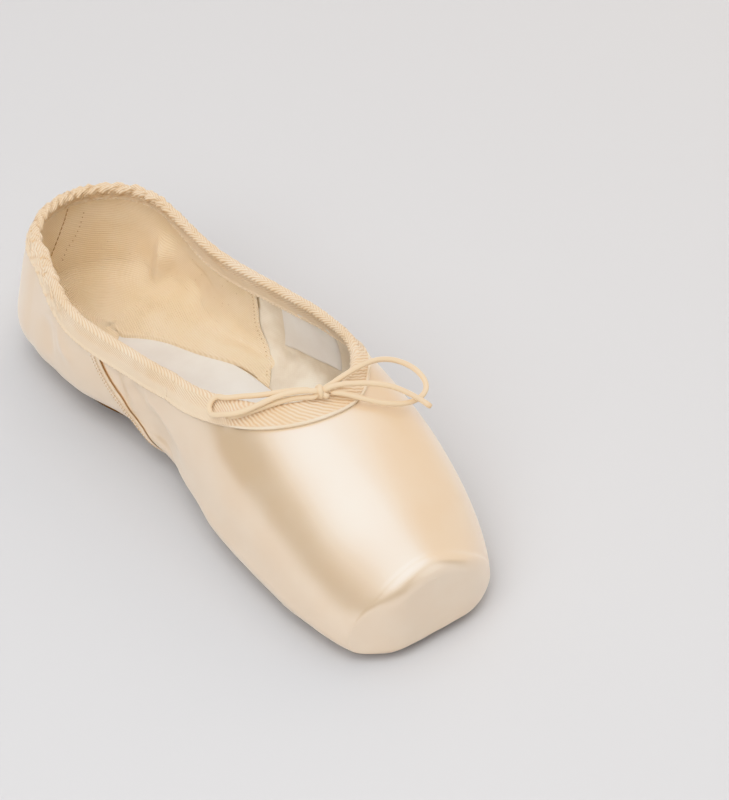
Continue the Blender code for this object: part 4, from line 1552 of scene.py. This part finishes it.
@dataclass
class Lining:
    """The inside: twill in the quarters, plain canvas in the vamp, and a blank tab."""

    last: Last
    shell: UpperShell
    twill: bpy.types.Material
    canvas: bpy.types.Material
    tab: bpy.types.Material
    thread: bpy.types.Material
    ripple: Ripple = Ripple(0.030, 0.00035, seed=9)
    loose_below: float = 0.062
    loose_fade: float = 0.02
    flattest: float = -0.0011
    seat_start: float = 0.030
    seat_end: float = 0.094
    seat_fade: float = 0.010
    seat_rows: tuple[int, int] = (24, 60)
    seat_columns: int = 26
    seat_top: float = 0.34
    seat_lift: float = 0.0031
    seat_more: float = 0.0010
    seat_more_over: float = 0.012
    seat_slope: float = 0.55
    seat_sunk: float = 0.0003
    seat_rim: float = 0.0024
    seat_gap: float = 0.00012
    back_stitch: Stitch = Stitch(0.0022, 0.0020, 0.00045, 0.00004, 0.9)
    needle_hole: Stitch = Stitch(0.0022, 0.0005, 0.00045, 0.00004, 0.9)
    seam_stitch: Stitch = Stitch(0.0022, 0.0018, 0.0004, 0.00004, 0.15)
    seam_hole: Stitch = Stitch(0.0017, 0.0005, 0.0004, 0.00004, 1.0)
    seam_row_at: float = 0.0005
    hole_row_at: float = 0.0022
    seam_span: tuple[float, float] = (0.90, 0.16)
    fleck: Stitch = Stitch(0.0006, 0.0004, 0.0002, 0.00003, 1.0)
    flecks: int = 46
    fleck_seed: int = 7
    tab_stations: tuple[float, float] = (0.0925, 0.1225)
    tab_shares: tuple[float, float] = (0.50, 0.93)
    tab_points: int = 40
    tab_slant: float = 0.05
    tab_thick: float = 0.0007
    tab_edge_tone: float = 0.8
    # Painted shadow on the vamp lining where the quarter lining's edge lies over it: its width, where it
    # starts up the wall, and how softly
    gap_shadow_wide: float = 0.0007
    gap_shadow_from: float = 0.66
    gap_shadow_fade: float = 0.08

    def inside(self, side: Any, u: Array, q: Array, lift: Any = 0.0) -> tuple[Array, Array]:
        """Places on the lining.

        Args:
            side: 1 is the wearer's left, -1 the right.
            u: stations.
            q: shares along the section.
            lift: how far the cloth is raised towards the foot.

        Returns:
            The points and their inward normals.
        """
        sides = np.broadcast_to(side, u.shape)
        outer, normals = self.last.surface(sides, u, q), self.last.normals(sides, u, q)
        points = outer - normals * self.last.wall(u)[..., None]
        loose = self.ripple.at(points) * smooth_step((self.loose_below - points[..., 2]) / self.loose_fade)
        move = np.maximum(loose + folded(points, LINING_FOLDS) + lift, self.flattest)
        return points + normals * (folded(outer, WALL_FOLDS) - move)[..., None], -normals

    def share(self, u: Array, t: Array) -> Array:
        """Share along the section at t from the opening underneath to the collar."""
        low, high = self.last.opening_share(u), self.last.collar_share(u)
        return low + t * (high - low)

    def seat(self, side: float) -> tuple[Array, Array]:
        """The cloth that runs from the wall on to the insole's back.

        Args:
            side: 1 is the wearer's left, -1 the right.

        Returns:
            Its points and its weave.
        """
        last, (round_rows, straight_rows) = self.last, self.seat_rows
        back = np.linspace(0.0, self.seat_start, round_rows)
        u = np.concatenate([back, np.linspace(self.seat_start, self.seat_end, straight_rows)[1:]])
        cover = SEAT.at("wearers_left" if side > 0 else "wearers_right", u)
        reach, _, share = last.sections(u)
        left_bare = np.maximum(last.sole_half(u, last.sole_front) - cover, 0.0)
        inner = last.share_where(reach, share, left_bare, False)[:, None]
        outer = self.share(u, np.full_like(u, self.seat_top))[:, None]
        part = np.concatenate([[0.0], np.linspace(0.0, 1.0, self.seat_columns)])[None, :]
        q = inner + (outer - inner) * part
        at = np.broadcast_to(u[:, None], q.shape)
        here = smooth_step((self.seat_end - at) / self.seat_fade)
        loose = smooth_step((at - self.seat_start) / self.seat_more_over) * (side > 0)
        full = (self.seat_lift + self.seat_more * loose) * smooth_step((1.0 - part) / self.seat_slope)
        lift = full * here - self.seat_sunk * (1.0 - here)
        lift[:, 0] = self.seat_rim * here[:, 0] - self.seat_sunk
        points, _ = self.inside(side, at, q, lift + self.seat_gap)
        weave = np.stack(np.broadcast_arrays(at, q * last.section_length(u)[:, None], 0.0), -1)
        return points, weave

    def stitches(self) -> bpy.types.Object:
        """Builds the back seam's thread, the needle holes, the side seams' rows and flecks in the weave.

        Returns:
            The piece.
        """
        cloth, seam = Cloth(), self.shell.seam
        for route, stitch in ((BACK_SEAM, self.back_stitch), (NEEDLE_HOLES, self.needle_hole)):
            table = np.array(route)
            t = np.linspace(table[0, 1], table[-1, 1], 120)
            u = np.interp(-t, -table[:, 1], table[:, 0])
            stitch.sew(cloth, *self.inside(np.where(u < 0, -1.0, 1.0), np.abs(u), self.share(np.abs(u), t)))
        t = np.linspace(*self.seam_span, 160)
        for behind, stitch in ((self.seam_row_at, self.seam_stitch), (self.hole_row_at, self.seam_hole)):
            u, lift = seam.top + seam.shift(t) - behind, seam.quarter_lift(np.array(behind))
            for side in (1.0, -1.0):
                stitch.sew(cloth, *self.inside(side, u, self.share(u, t), lift))
        rng = np.random.default_rng(self.fleck_seed)
        for _ in range(self.flecks):
            side, u, t = rng.choice([-1.0, 1.0]), rng.uniform(0.0, 0.07), rng.uniform(0.2, 0.85)
            spot = np.array([u, u + self.fleck.pitch])
            self.fleck.sew(cloth, *self.inside(side, spot, self.share(spot, np.array([t, t]))))
        return cloth.piece("lining_stitching", self.thread, "cord")

    def blank_tab(self) -> bpy.types.Object:
        """Builds the blank tab sewn inside the vamp.

        Returns:
            The piece.
        """
        cloth, (start, end) = Cloth(), self.tab_stations
        u = np.linspace(start, end, self.tab_points)[:, None]
        t = np.linspace(*self.tab_shares, self.tab_points)[None, :]
        u, t = np.broadcast_arrays(u, t)
        t = t + self.tab_slant * (u - start) / (end - start)
        q = np.array([self.share(row, part) for row, part in zip(u, t)])
        rim = np.minimum.outer(*(np.minimum(np.arange(n), np.arange(n)[::-1]) for n in u.shape))
        points, _ = self.inside(1.0, u, q, self.tab_thick * np.sqrt(np.clip(rim / 2.0, 0.0, 1.0)))
        weave = np.stack([u, q * self.last.girth(u), (rim < 1) * self.tab_edge_tone], -1)
        cloth.add(points, weave, flip=True)
        return cloth.piece("blank_tab", self.tab, "sock")

    def build(self) -> list[bpy.types.Object]:
        """Builds both linings, the stitches and the tab.

        Returns:
            The pieces.
        """
        seam, pieces = self.shell.seam, []
        for name, ends, material in (
            ("quarter_lining", self.shell.quarter_ends(), self.twill),
            ("vamp_lining", self.shell.vamp_ends(), self.canvas),
        ):
            cloth = Cloth()
            u, q, t = self.shell.grid(ends)
            behind = seam.top + seam.shift(t) - u
            quarter = name == "quarter_lining"
            lift = seam.quarter_lift(behind) if quarter else np.zeros_like(u)
            # Painted shadow on the vamp lining just ahead of the side seam, in the upper part of the wall
            gap = np.exp(-((np.clip(-behind, 0.0, None) / self.gap_shadow_wide) ** 4)) * (not quarter)
            gap = gap * smooth_step((t - self.gap_shadow_from) / self.gap_shadow_fade)
            for side in (1.0, -1.0):
                points, _ = self.inside(side, u, q, lift)
                cloth.add(points, np.stack([u, q * self.last.girth(u), gap], -1), flip=side > 0)
                if quarter:
                    cloth.add(*self.seat(side), flip=side > 0)
            pieces.append(cloth.piece(name, material, "tape", ["upper"], WELD))
        return pieces + [self.stitches(), self.blank_tab()]


# The tape round the collar


# Gathers of the tape: height, waves round the collar, how they wander and how often, and slant over the tape
GATHERS: Rows = ((1.0, 71, 2.0, 9, 500), (0.7, 117, 1.5, 13, -700), (0.6, 37, 0.0, 1, 300))


@dataclass
class CollarTape:
    """Cotton tape folded over the collar, drawn up at the heel by the drawstring that it carries."""

    last: Last
    tape: bpy.types.Material
    thread: bpy.types.Material
    gap: float = 0.0002
    least_gap: float = 0.00015
    thick: float = 0.0009
    crown: float = 0.0016
    crown_spread: float = 1.4
    leg_steps: int = 22
    crown_steps: int = 17
    heel_places: int = 110
    quarter_places: int = 200
    throat_places: int = 150
    gather_lean: float = 0.9
    thins: float = 0.5
    settles: float = 0.75
    rim: float = 0.0004
    rim_at: float = 0.93
    rim_wide: float = 0.05
    hem_turn: float = 0.0008
    hem_gap: float = 0.00005
    throat_from: float = 0.138
    throat_fade: float = 0.01
    throat_weave: float = 0.4
    weave_wander: float = 1.6
    shade_depth: float = 0.0012
    shade_most: float = 0.45
    stitch_row: int = -3
    inside_stitch: Stitch = Stitch(0.0015, 0.0009, 0.00034, 0.00004, 0.1)
    outside_stitch: Stitch = Stitch(0.0015, 0.0009, 0.00030, 0.00006, 0.4)
    roll_from: float = 0.146
    roll: float = 0.00055
    roll_gap: float = 0.0001
    roll_end: float = 0.008

    def __post_init__(self) -> None:
        """Works out the places round the collar, and there its edge and directions."""
        last = self.last
        self.side, self.u, self.q = self.places()
        self.edge = last.surface(self.side, self.u, self.q)
        self.normal = last.normals(self.side, self.u, self.q)
        self.away = unit(np.cross(self.normal, np.roll(self.edge, -1, 0) - np.roll(self.edge, 1, 0)))
        around = arc_length(np.concatenate([self.edge, self.edge[:1]]))
        self.turn, self.around = 2 * math.pi / around[-1], around[:-1]
        self.gather = self.column("gather")

    def column(self, name: str) -> Array:
        """A column of the tape's own table at the places round the collar."""
        return TAPE.at(name, self.u * self.side)

    def places(self) -> tuple[Array, Array, Array]:
        """Places round the collar's edge.

        Returns:
            Their sides, stations and shares.
        """
        last = self.last
        heel = np.linspace(0.0, last.heel_radius, self.heel_places)
        quarter = np.linspace(last.heel_radius, last.throat_start, self.quarter_places)[1:]
        throat = easing_out(last.throat_start, last.throat_front, self.throat_places)
        half = np.concatenate([heel, quarter, throat])
        u = np.concatenate([half, half[-2:0:-1]])
        side = np.where(np.arange(len(u)) < len(half), 1.0, -1.0)
        return side, u, last.collar_share(u)

    def swell(self, depth: Array) -> Array:
        """Height of the uneven gathers round the collar.

        Args:
            depth: the distance over the tape from its crown.

        Returns:
            The heights.
        """
        a = (self.around + depth * self.gather_lean) * self.turn
        total = np.zeros_like(a)
        for height, count, wander, beats, lean in GATHERS:
            total = total + height * np.sin(a * count + wander * np.sin(a * beats) + depth * lean)
        return self.gather * total / 2.0

    def leg(self, outer: bool) -> list[tuple[Array, Array, Array]]:
        """One leg of the tape, from its crown to its hem.

        Args:
            outer: whether it is the leg outside the shoe.

        Returns:
            Points, distance from the crown and the cloth's normals for each row.
        """
        last, facing, rows = self.last, 1 if outer else -1, []
        u, q, way = self.u, self.q, self.away
        step = self.column("outer" if outer else "inner") / self.leg_steps
        for k in range(1, self.leg_steps + 1):
            u, q, way = last.walk(self.side, u, q, way, step)
            point, face = last.surface(self.side, u, q), last.normals(self.side, u, q)
            shape, down = folded(point, WALL_FOLDS), k / self.leg_steps
            depth = self.crown * self.crown_spread + k * step
            rim = self.rim * np.exp(-(((down - self.rim_at) / self.rim_wide) ** 2))
            swell = self.swell(depth * facing) * (1.0 - self.settles * down)
            lift = np.maximum(self.gap + self.thick * (1.0 - self.thins * down) + rim + swell, self.least_gap)
            out = lift + shape if outer else shape - lift - last.wall(np.abs(u))
            rows.append((point + face * out[:, None], depth, face * facing))
        spot, depth, face = rows[-1]
        rows.append((spot - face * (lift - self.hem_gap)[:, None], depth + self.hem_turn, face))
        return rows

    def over_crown(self) -> list[tuple[Array, Array, Array]]:
        """The tape's rows over the collar's edge, from the outer leg to the inner.

        Returns:
            Points, distance from the crown and the cloth's normals for each row.
        """
        thick, rows = self.last.wall(self.u), []
        for angle in np.linspace(0.0, math.pi, self.crown_steps):
            depth = np.full_like(self.u, -self.crown * self.crown_spread * math.cos(angle))
            swell = self.swell(depth)
            flat = (thick / 2 + self.gap + self.thick + swell) * math.cos(angle) - thick / 2
            high = (self.gap + self.crown + swell) * math.sin(angle)
            spot = self.edge + self.normal * flat[:, None] - self.away * high[:, None]
            rows.append((spot, depth, self.normal))
        return rows

    def stitching(self, outside: Sequence[Array], inside: Sequence[Array]) -> bpy.types.Object:
        """Builds the stitches along both hems, and the corded hem at the throat.

        Args:
            outside: points, depth and normals of the outer leg's stitched row.
            inside: the same for the inner leg.

        Returns:
            The piece.
        """
        threads = Cloth()
        (spot, _, face), (inner_spot, _, inner_face) = outside, inside
        closed = [np.concatenate([part, part[:1]]) for part in (inner_spot, inner_face)]
        self.inside_stitch.sew(threads, *closed)
        throat, rest = np.flatnonzero(self.u > self.roll_from), np.flatnonzero(self.u < self.roll_from)
        for part in np.split(rest, np.flatnonzero(np.diff(rest) > 1) + 1):
            self.outside_stitch.sew(threads, spot[part], face[part])
        path = spot[throat] + face[throat] * self.roll_gap
        along = arc_length(path)
        from_end = np.minimum(along, along[-1] - along)
        size = self.roll * np.sqrt(np.clip(from_end / self.roll_end, 0.01, 1.0))
        threads.add(*tube(path, size, 10), round_columns=True, flip=True)
        return threads.piece("collar_stitching", self.thread, "cord")

    def build(self) -> list[bpy.types.Object]:
        """Builds the tape and its stitching.

        Returns:
            The two pieces.
        """
        outside, inside = self.leg(True), self.leg(False)
        rows = [(spot, -depth, face) for spot, depth, face in outside[::-1]] + self.over_crown() + inside
        points, over = np.stack([row[0] for row in rows], 1), np.stack([row[1] for row in rows], 1)
        wavy = np.stack([self.swell(row[1]) for row in rows], 1)
        near_throat = smooth_step((self.u - self.throat_from) / self.throat_fade)
        over = over * (1.0 - self.throat_weave * near_throat)[:, None]
        tone = np.clip(-wavy / self.shade_depth, 0.0, self.shade_most)
        weave = np.stack([self.around[:, None] + self.weave_wander * wavy, over, tone], -1)
        cloth = Cloth()
        cloth.add(points, weave, round_rows=True)
        tape = cloth.piece("collar_tape", self.tape, "tape", ["collar_binding"])
        return [tape, self.stitching(outside[self.stitch_row], inside[self.stitch_row])]


# Sole and insole


@dataclass
class Plate:
    """A plate under or on the last's floor, with rounded edges."""

    last: Last
    name: str
    material: bpy.types.Material
    slot: str
    node: str
    inset: float
    round_edge: float = 0.0006
    edge_height: float = 0.45
    edge_shade: float = 0.0008
    heel_rows: int = 24
    waist_rows: int = 90
    front_rows: int = 36
    flat_columns: int = 16
    edge_columns: int = 9
    edge_from: float = 0.9

    def heights(self, ground: Array, slant: Array, u: Array) -> tuple[Array, Array]:
        """Heights of underside and top, from the ground's heights and slant and the stations."""
        raise NotImplementedError

    def build(self) -> list[bpy.types.Object]:
        """Builds the plate.

        Returns:
            Its one piece.
        """
        last, flat = self.last, self.edge_from
        u = np.concatenate([
            np.linspace(0.0, last.heel_radius, self.heel_rows),
            np.linspace(last.heel_radius, last.sole_round_start, self.waist_rows)[1:],
            easing_out(last.sole_round_start, last.sole_front, self.front_rows),
        ])
        half = last.sole_half(u, last.sole_front, self.inset)
        half[-1] = 0.0
        edge = 1.0 - (1.0 - flat) * np.cos(np.linspace(0, math.pi / 2, self.edge_columns))[1:]
        share = np.concatenate([np.linspace(0.0, flat, self.flat_columns), edge])
        reach, from_edge = half[:, None] * share, half[:, None] * (1.0 - share)
        at = np.broadcast_to(u[:, None], reach.shape)
        curl = np.clip(1.0 - from_edge / self.round_edge, 0.0, 1.0)
        grow = self.edge_height + (1.0 - self.edge_height) * np.sqrt(1.0 - curl**2)
        cloth = Cloth()
        for side in (1.0, -1.0):
            ground, slant = last.floor_point(side, at, reach), last.floor_slant(at, reach)
            bottom, top = self.heights(ground[..., 2], slant, at)
            middle, low, high = (bottom + top) / 2, ground.copy(), ground.copy()
            low[..., 2] = middle + (bottom - middle) * grow
            high[..., 2] = middle + (top - middle) * grow
            weave = np.stack([at, side * reach, np.exp(-((from_edge / self.edge_shade) ** 2))], -1)
            cloth.add(low, weave, flip=side > 0)
            cloth.add(high, weave, flip=side < 0)
            cloth.add(np.stack([low[:, -1], high[:, -1]], 1), weave[:, -2:], flip=side < 0)
        return [cloth.piece(self.name, self.material, self.slot, [self.node], WELD)]


@dataclass
class Outsole(Plate):
    """The leather sole: arched at the waist, sprung at the toe, flat where it stands."""

    gap: float = 0.0003
    thick: float = 0.0022
    skived: float = 0.0014
    settled: float = 0.0005

    def heights(self, ground: Array, slant: Array, u: Array) -> tuple[Array, Array]:
        """Heights of the sole's underside and top."""
        start, end = self.last.sole_round_start, self.last.sole_front
        thick = self.thick + (self.skived - self.thick) * smooth_step((u - start) / (end - start))
        return np.maximum(ground - (self.gap + thick) * slant - self.settled, 0.0), ground - self.gap * slant


@dataclass
class Insole(Plate):
    """The insole board in its cotton, from the heel into the box."""

    gap: float = 0.0004
    thick: float = 0.0018

    def heights(self, ground: Array, slant: Array, u: Array) -> tuple[Array, Array]:
        """Heights of the insole's underside and top."""
        low = ground + (self.last.wall(u) + self.gap) * slant
        return low, low + self.thick * slant


@dataclass
class Sock:
    """The white sock glued on the insole, with a round back end."""

    last: Last
    material: bpy.types.Material
    back: float = 0.029
    back_round: float = 0.030
    back_power: float = 2.2
    inset: float = 0.0030
    short: float = 0.004
    over: float = 0.0022
    thick: float = 0.0005
    rows: tuple[int, int] = (90, 30)
    closer_rows: float = 1.35
    flat_columns: int = 18
    flat_until: float = 0.92
    edge: tuple[float, ...] = (0.96, 0.985, 1.0, 1.0)
    edge_drop: tuple[float, ...] = (0.0, 0.15, 0.45, 1.0)

    def build(self) -> list[bpy.types.Object]:
        """Builds the sock.

        Returns:
            Its one piece.
        """
        last, front = self.last, self.last.sole_front - self.short
        part = np.linspace(0.0, 1.0, self.rows[0]) ** self.closer_rows
        straight = self.back + (last.sole_round_start - self.back) * part
        u = np.concatenate([straight, easing_out(last.sole_round_start, front, self.rows[1])])
        on = np.clip((u - self.back) / self.back_round, 0.0, 1.0)
        half = last.sole_half(u, front, self.inset)
        half = half * np.sqrt(np.clip(1.0 - (1.0 - on) ** self.back_power, 0.0, 1.0))
        share = np.concatenate([np.linspace(0.0, self.flat_until, self.flat_columns), self.edge])
        drop = np.concatenate([np.zeros(self.flat_columns), self.edge_drop]) * self.thick
        reach = half[:, None] * share
        at = np.broadcast_to(u[:, None], reach.shape)
        cloth = Cloth()
        for side in (1.0, -1.0):
            points = last.floor_point(side, at, reach)
            points[..., 2] += (last.wall(at) + self.over) * last.floor_slant(at, reach) + self.thick - drop
            cloth.add(points, np.stack([at, side * reach, np.zeros_like(reach)], -1), flip=side < 0)
        return [cloth.piece("sock", self.material, "sock", (), WELD)]


# The drawstring's bow


# Turns of the knot: place from its middle, lean in degrees, and half width and half height of the turn
KNOT_TURNS: Rows = (
    (-0.0007, 0.0, 0.0, 12.0, 0.0014, 0.0017),
    (0.0013, -0.0006, -0.0008, -35.0, 0.0010, 0.0009),
)


@dataclass
class Bow:
    """The round elastic drawstring, tied in a bow on the tape."""

    elastic: bpy.types.Material
    cord: float = 0.0019
    step: float = 0.0006
    sides: int = 16
    point: float = 1e-5
    cut_tone: float = 0.35
    core_size: tuple[float, float, float] = (0.0032, 0.0028, 0.0030)
    core_tone: float = 0.3
    knot_at: tuple[float, float, float] = (-0.0028, -0.0492, 0.0622)
    knot_turn: float = -18.0
    inner_share: float = 0.3
    onward_share: float = 0.4
    inner_step: float = 0.0004
    turn_points: int = 40
    turn_wave: float = 0.0004
    turn_size: float = 0.98
    turn_tip: float = 0.8

    def strand(self, name: str, route: Rows, free_end: bool) -> bpy.types.Object:
        """Args:
            name: its CAD node's name without the first word.
            route: the points of its route.
            free_end: whether it ends cut off, and not in the knot.

        Returns:
            The piece.
        """
        points = in_metres(route)
        middle = smooth_route(points, self.step)
        size = np.full(len(middle), self.cord / 2)
        ease = np.sqrt(np.clip(1.0 - (1.0 - np.arange(4) / 3.0) ** 2, 0.02, 1.0))
        size[:4] *= ease
        size[-4:] *= (0.80 + 0.24 * ease[::-1]) if free_end else ease[::-1]
        size[0], path = self.point, middle
        if free_end:
            path, size = np.concatenate([middle, middle[-1:]]), np.concatenate([size, [self.point]])
        else:
            size[-1] = self.point
        grid, weave = tube(path, size, self.sides)
        if free_end:
            weave[-4:, :, 2] = self.cut_tone
        cloth = Cloth()
        cloth.add(grid, weave, round_columns=True, flip=True)
        node = "drawstring_" + name
        piece = cloth.piece("elastic_" + name, self.elastic, "cord", [node])
        length = float(arc_length(middle)[-1])
        return piece

    def knot(self) -> bpy.types.Object:
        """Builds the knot: two turns of the cord drawn tight round the strands, over a small core.

        Returns:
            The piece.
        """
        cloth = Cloth()
        place = Matrix.Translation(self.knot_at) @ Matrix.Rotation(math.radians(self.knot_turn), 4, "Z")
        for route in (LOOP_RIGHT, END_RIGHT, LOOP_LEFT, END_LEFT):
            start, second = in_metres(route[:2])
            inner = np.array(self.knot_at) * (1.0 - self.inner_share) + start * self.inner_share
            onward = start + self.onward_share * (second - start)
            path = smooth_route(np.array([inner, start, onward]), self.inner_step)
            grid, weave = tube(path, np.full(len(path), self.cord / 2), self.sides)
            cloth.add(grid, weave, round_columns=True, flip=True)
        for x, y, z, lean, deep, high in KNOT_TURNS:
            angle, lean = np.linspace(0.0, 2 * math.pi, self.turn_points), math.radians(lean)
            wave = self.turn_wave * np.sin(2 * angle)
            ring = np.column_stack([wave, deep * np.cos(angle), high * np.sin(angle)])
            tilt = Matrix.Rotation(lean, 3, "Z") @ Matrix.Rotation(lean * self.turn_tip, 3, "Y")
            ring = np.array([place @ (Vector((x, y, z)) + tilt @ Vector(p)) for p in ring])
            grid, weave = tube(ring, np.full(len(ring), self.cord / 2 * self.turn_size))
            cloth.add(grid, weave, round_columns=True, flip=True)
        core = bmesh.new()
        ball = place @ Matrix.Diagonal((*self.core_size, 1.0))
        bmesh.ops.create_uvsphere(core, u_segments=20, v_segments=12, radius=0.5, matrix=ball)
        points = np.array([v.co for v in core.verts])
        for size in (3, 4):
            faces = [[v.index for v in f.verts] for f in core.faces if len(f.verts) == size]
            cloth.add_faces(points, np.zeros_like(points) + (0.0, 0.0, self.core_tone), np.array(faces))
        core.free()
        return cloth.piece("bow_knot", self.elastic, "cord", ["drawstring_knot"])

    def build(self) -> list[bpy.types.Object]:
        """Builds loops, ends and knot.

        Returns:
            The pieces.
        """
        strands = [
            self.strand("loop_right", LOOP_RIGHT, False),
            self.strand("end_right", END_RIGHT, True),
            self.strand("loop_left", LOOP_LEFT, False),
            self.strand("end_left", END_LEFT, True),
        ]
        return strands + [self.knot()]


# Studio


@dataclass(frozen=True)
class Softbox:
    """A square soft light that faces the shoe. Gloss may mirror it, and matte cloth may be left out."""

    name: str
    place: tuple[float, float, float]
    size: float
    power: float
    mirrored: bool = True
    lights_matte: bool = True
    colour: Colour = (1.0, 1.0, 1.0)

    def build(self) -> None:
        """Adds the light."""
        data = bpy.data.lights.new(self.name, "AREA")
        data.shape, data.size, data.energy, data.color = "SQUARE", self.size, self.power, self.colour
        light = link(self.name, data)
        light.location = self.place
        light.visible_glossy, light.visible_diffuse = self.mirrored, self.lights_matte
        light.rotation_mode = "QUATERNION"
        light.rotation_quaternion = (-Vector(self.place)).to_track_quat("-Z", "Y")


SOFTBOXES = (
    Softbox("overhead", (0.08, 0.0, 2.0), 2.0, 9.0),
    Softbox("overhead_gloss", (0.08, 0.0, 2.0), 2.0, 95.0, lights_matte=False),
    Softbox("front_gloss", (0.9, -1.5, 0.75), 1.3, 6.0, lights_matte=False),
    Softbox("side_fill", (-1.0, -0.6, 1.5), 1.8, 28.0, mirrored=False),
    Softbox("far_bounce", (1.2, 0.3, 0.55), 1.6, 7.5, colour=(1.0, 0.80, 0.60)),
)


@dataclass
class Studio:
    """Camera, floor, lights and the pale surround."""

    azimuth: float = -37.45
    elevation: float = 39.22
    distance: float = 0.8957
    focal_pixels: float = 2502.8
    long_side: int = 800
    target: tuple[float, float, float] = (0.03732, -0.02062, 0.020)
    floor_half: float = 4.0
    floor_colour: Colour = (0.585, 0.582, 0.588)
    sky: float = 0.63
    sky_colour: Colour = (0.97, 0.98, 1.0)

    def camera(self) -> None:
        """Builds the camera at the photograph's viewing angle."""
        a, e = math.radians(self.azimuth), math.radians(self.elevation)
        back = Vector((math.sin(a) * math.cos(e), -math.cos(a) * math.cos(e), math.sin(e)))
        data = bpy.data.cameras.new("camera")
        data.sensor_width = 36.0
        data.lens = self.focal_pixels / self.long_side * data.sensor_width
        data.clip_start, data.clip_end = 0.01, 50.0
        camera = link("camera", data)
        camera.location = Vector(self.target) + back * self.distance
        camera.rotation_mode = "QUATERNION"
        camera.rotation_quaternion = (-back).to_track_quat("-Z", "Y")
        bpy.context.scene.camera = camera

    def floor(self) -> None:
        """Builds the pale floor."""
        mesh, half = bpy.data.meshes.new("floor"), self.floor_half
        corners = [(-half, -half, 0), (half, -half, 0), (half, half, 0), (-half, half, 0)]
        mesh.from_pydata(corners, [], [(0, 1, 2, 3)])
        mesh.materials.append(Graph("pale_floor").dress(self.floor_colour, 0.9, Specular_IOR_Level=0.1))
        link("floor", mesh)

    def surround(self) -> None:
        """Lights everything evenly from all round."""
        world = bpy.data.worlds.new("surround")
        bpy.context.scene.world = world
        world.use_nodes = True
        shade = world.node_tree.nodes["Background"]
        shade.inputs["Color"].default_value = (*self.sky_colour, 1.0)
        shade.inputs["Strength"].default_value = self.sky
        world.cycles_visibility.glossy = False

    def build(self) -> None:
        """Builds the whole studio."""
        self.camera()
        self.floor()
        self.surround()
        for softbox in SOFTBOXES:
            softbox.build()
        bpy.context.scene.view_settings.view_transform = "Khronos PBR Neutral"


# Everything together


def report(pieces: Sequence[bpy.types.Object]) -> None:
    """Logs each piece's name and number of faces."""
    for piece in pieces:
        log.info("%s: %d faces", piece.name, len(piece.data.polygons))


def main() -> None:
    """Builds the studio and then the shoe, piece by piece."""
    logging.basicConfig(level=logging.INFO, format="%(message)s")
    last = Last()
    Studio().build()
    report(Bow(Elastic().material()).build())
    satin, tape, twill = Satin().material(), TAPE_TWILL.material(), LINING_TWILL.material()
    canvas, sock, thread = VAMP_CANVAS.material(), WHITE_SOCK.material(), SEWING_THREAD.material()
    outside, inside = UpperShell(last, SATIN_SEAM), UpperShell(last, LINING_SEAM)
    report(SatinUpper(last, outside, satin, thread).build())
    report(Lining(last, inside, twill, canvas, sock, thread).build())
    report(CollarTape(last, tape, thread).build())
    report(Outsole(last, "leather_sole", Leather().material(), "leather", "outsole", inset=-0.0005).build())
    report(Insole(last, "insole_board", twill, "sock", "insole", inset=0.0022).build())
    report(Sock(last, sock).build())


if __name__ == "__main__":
    main()
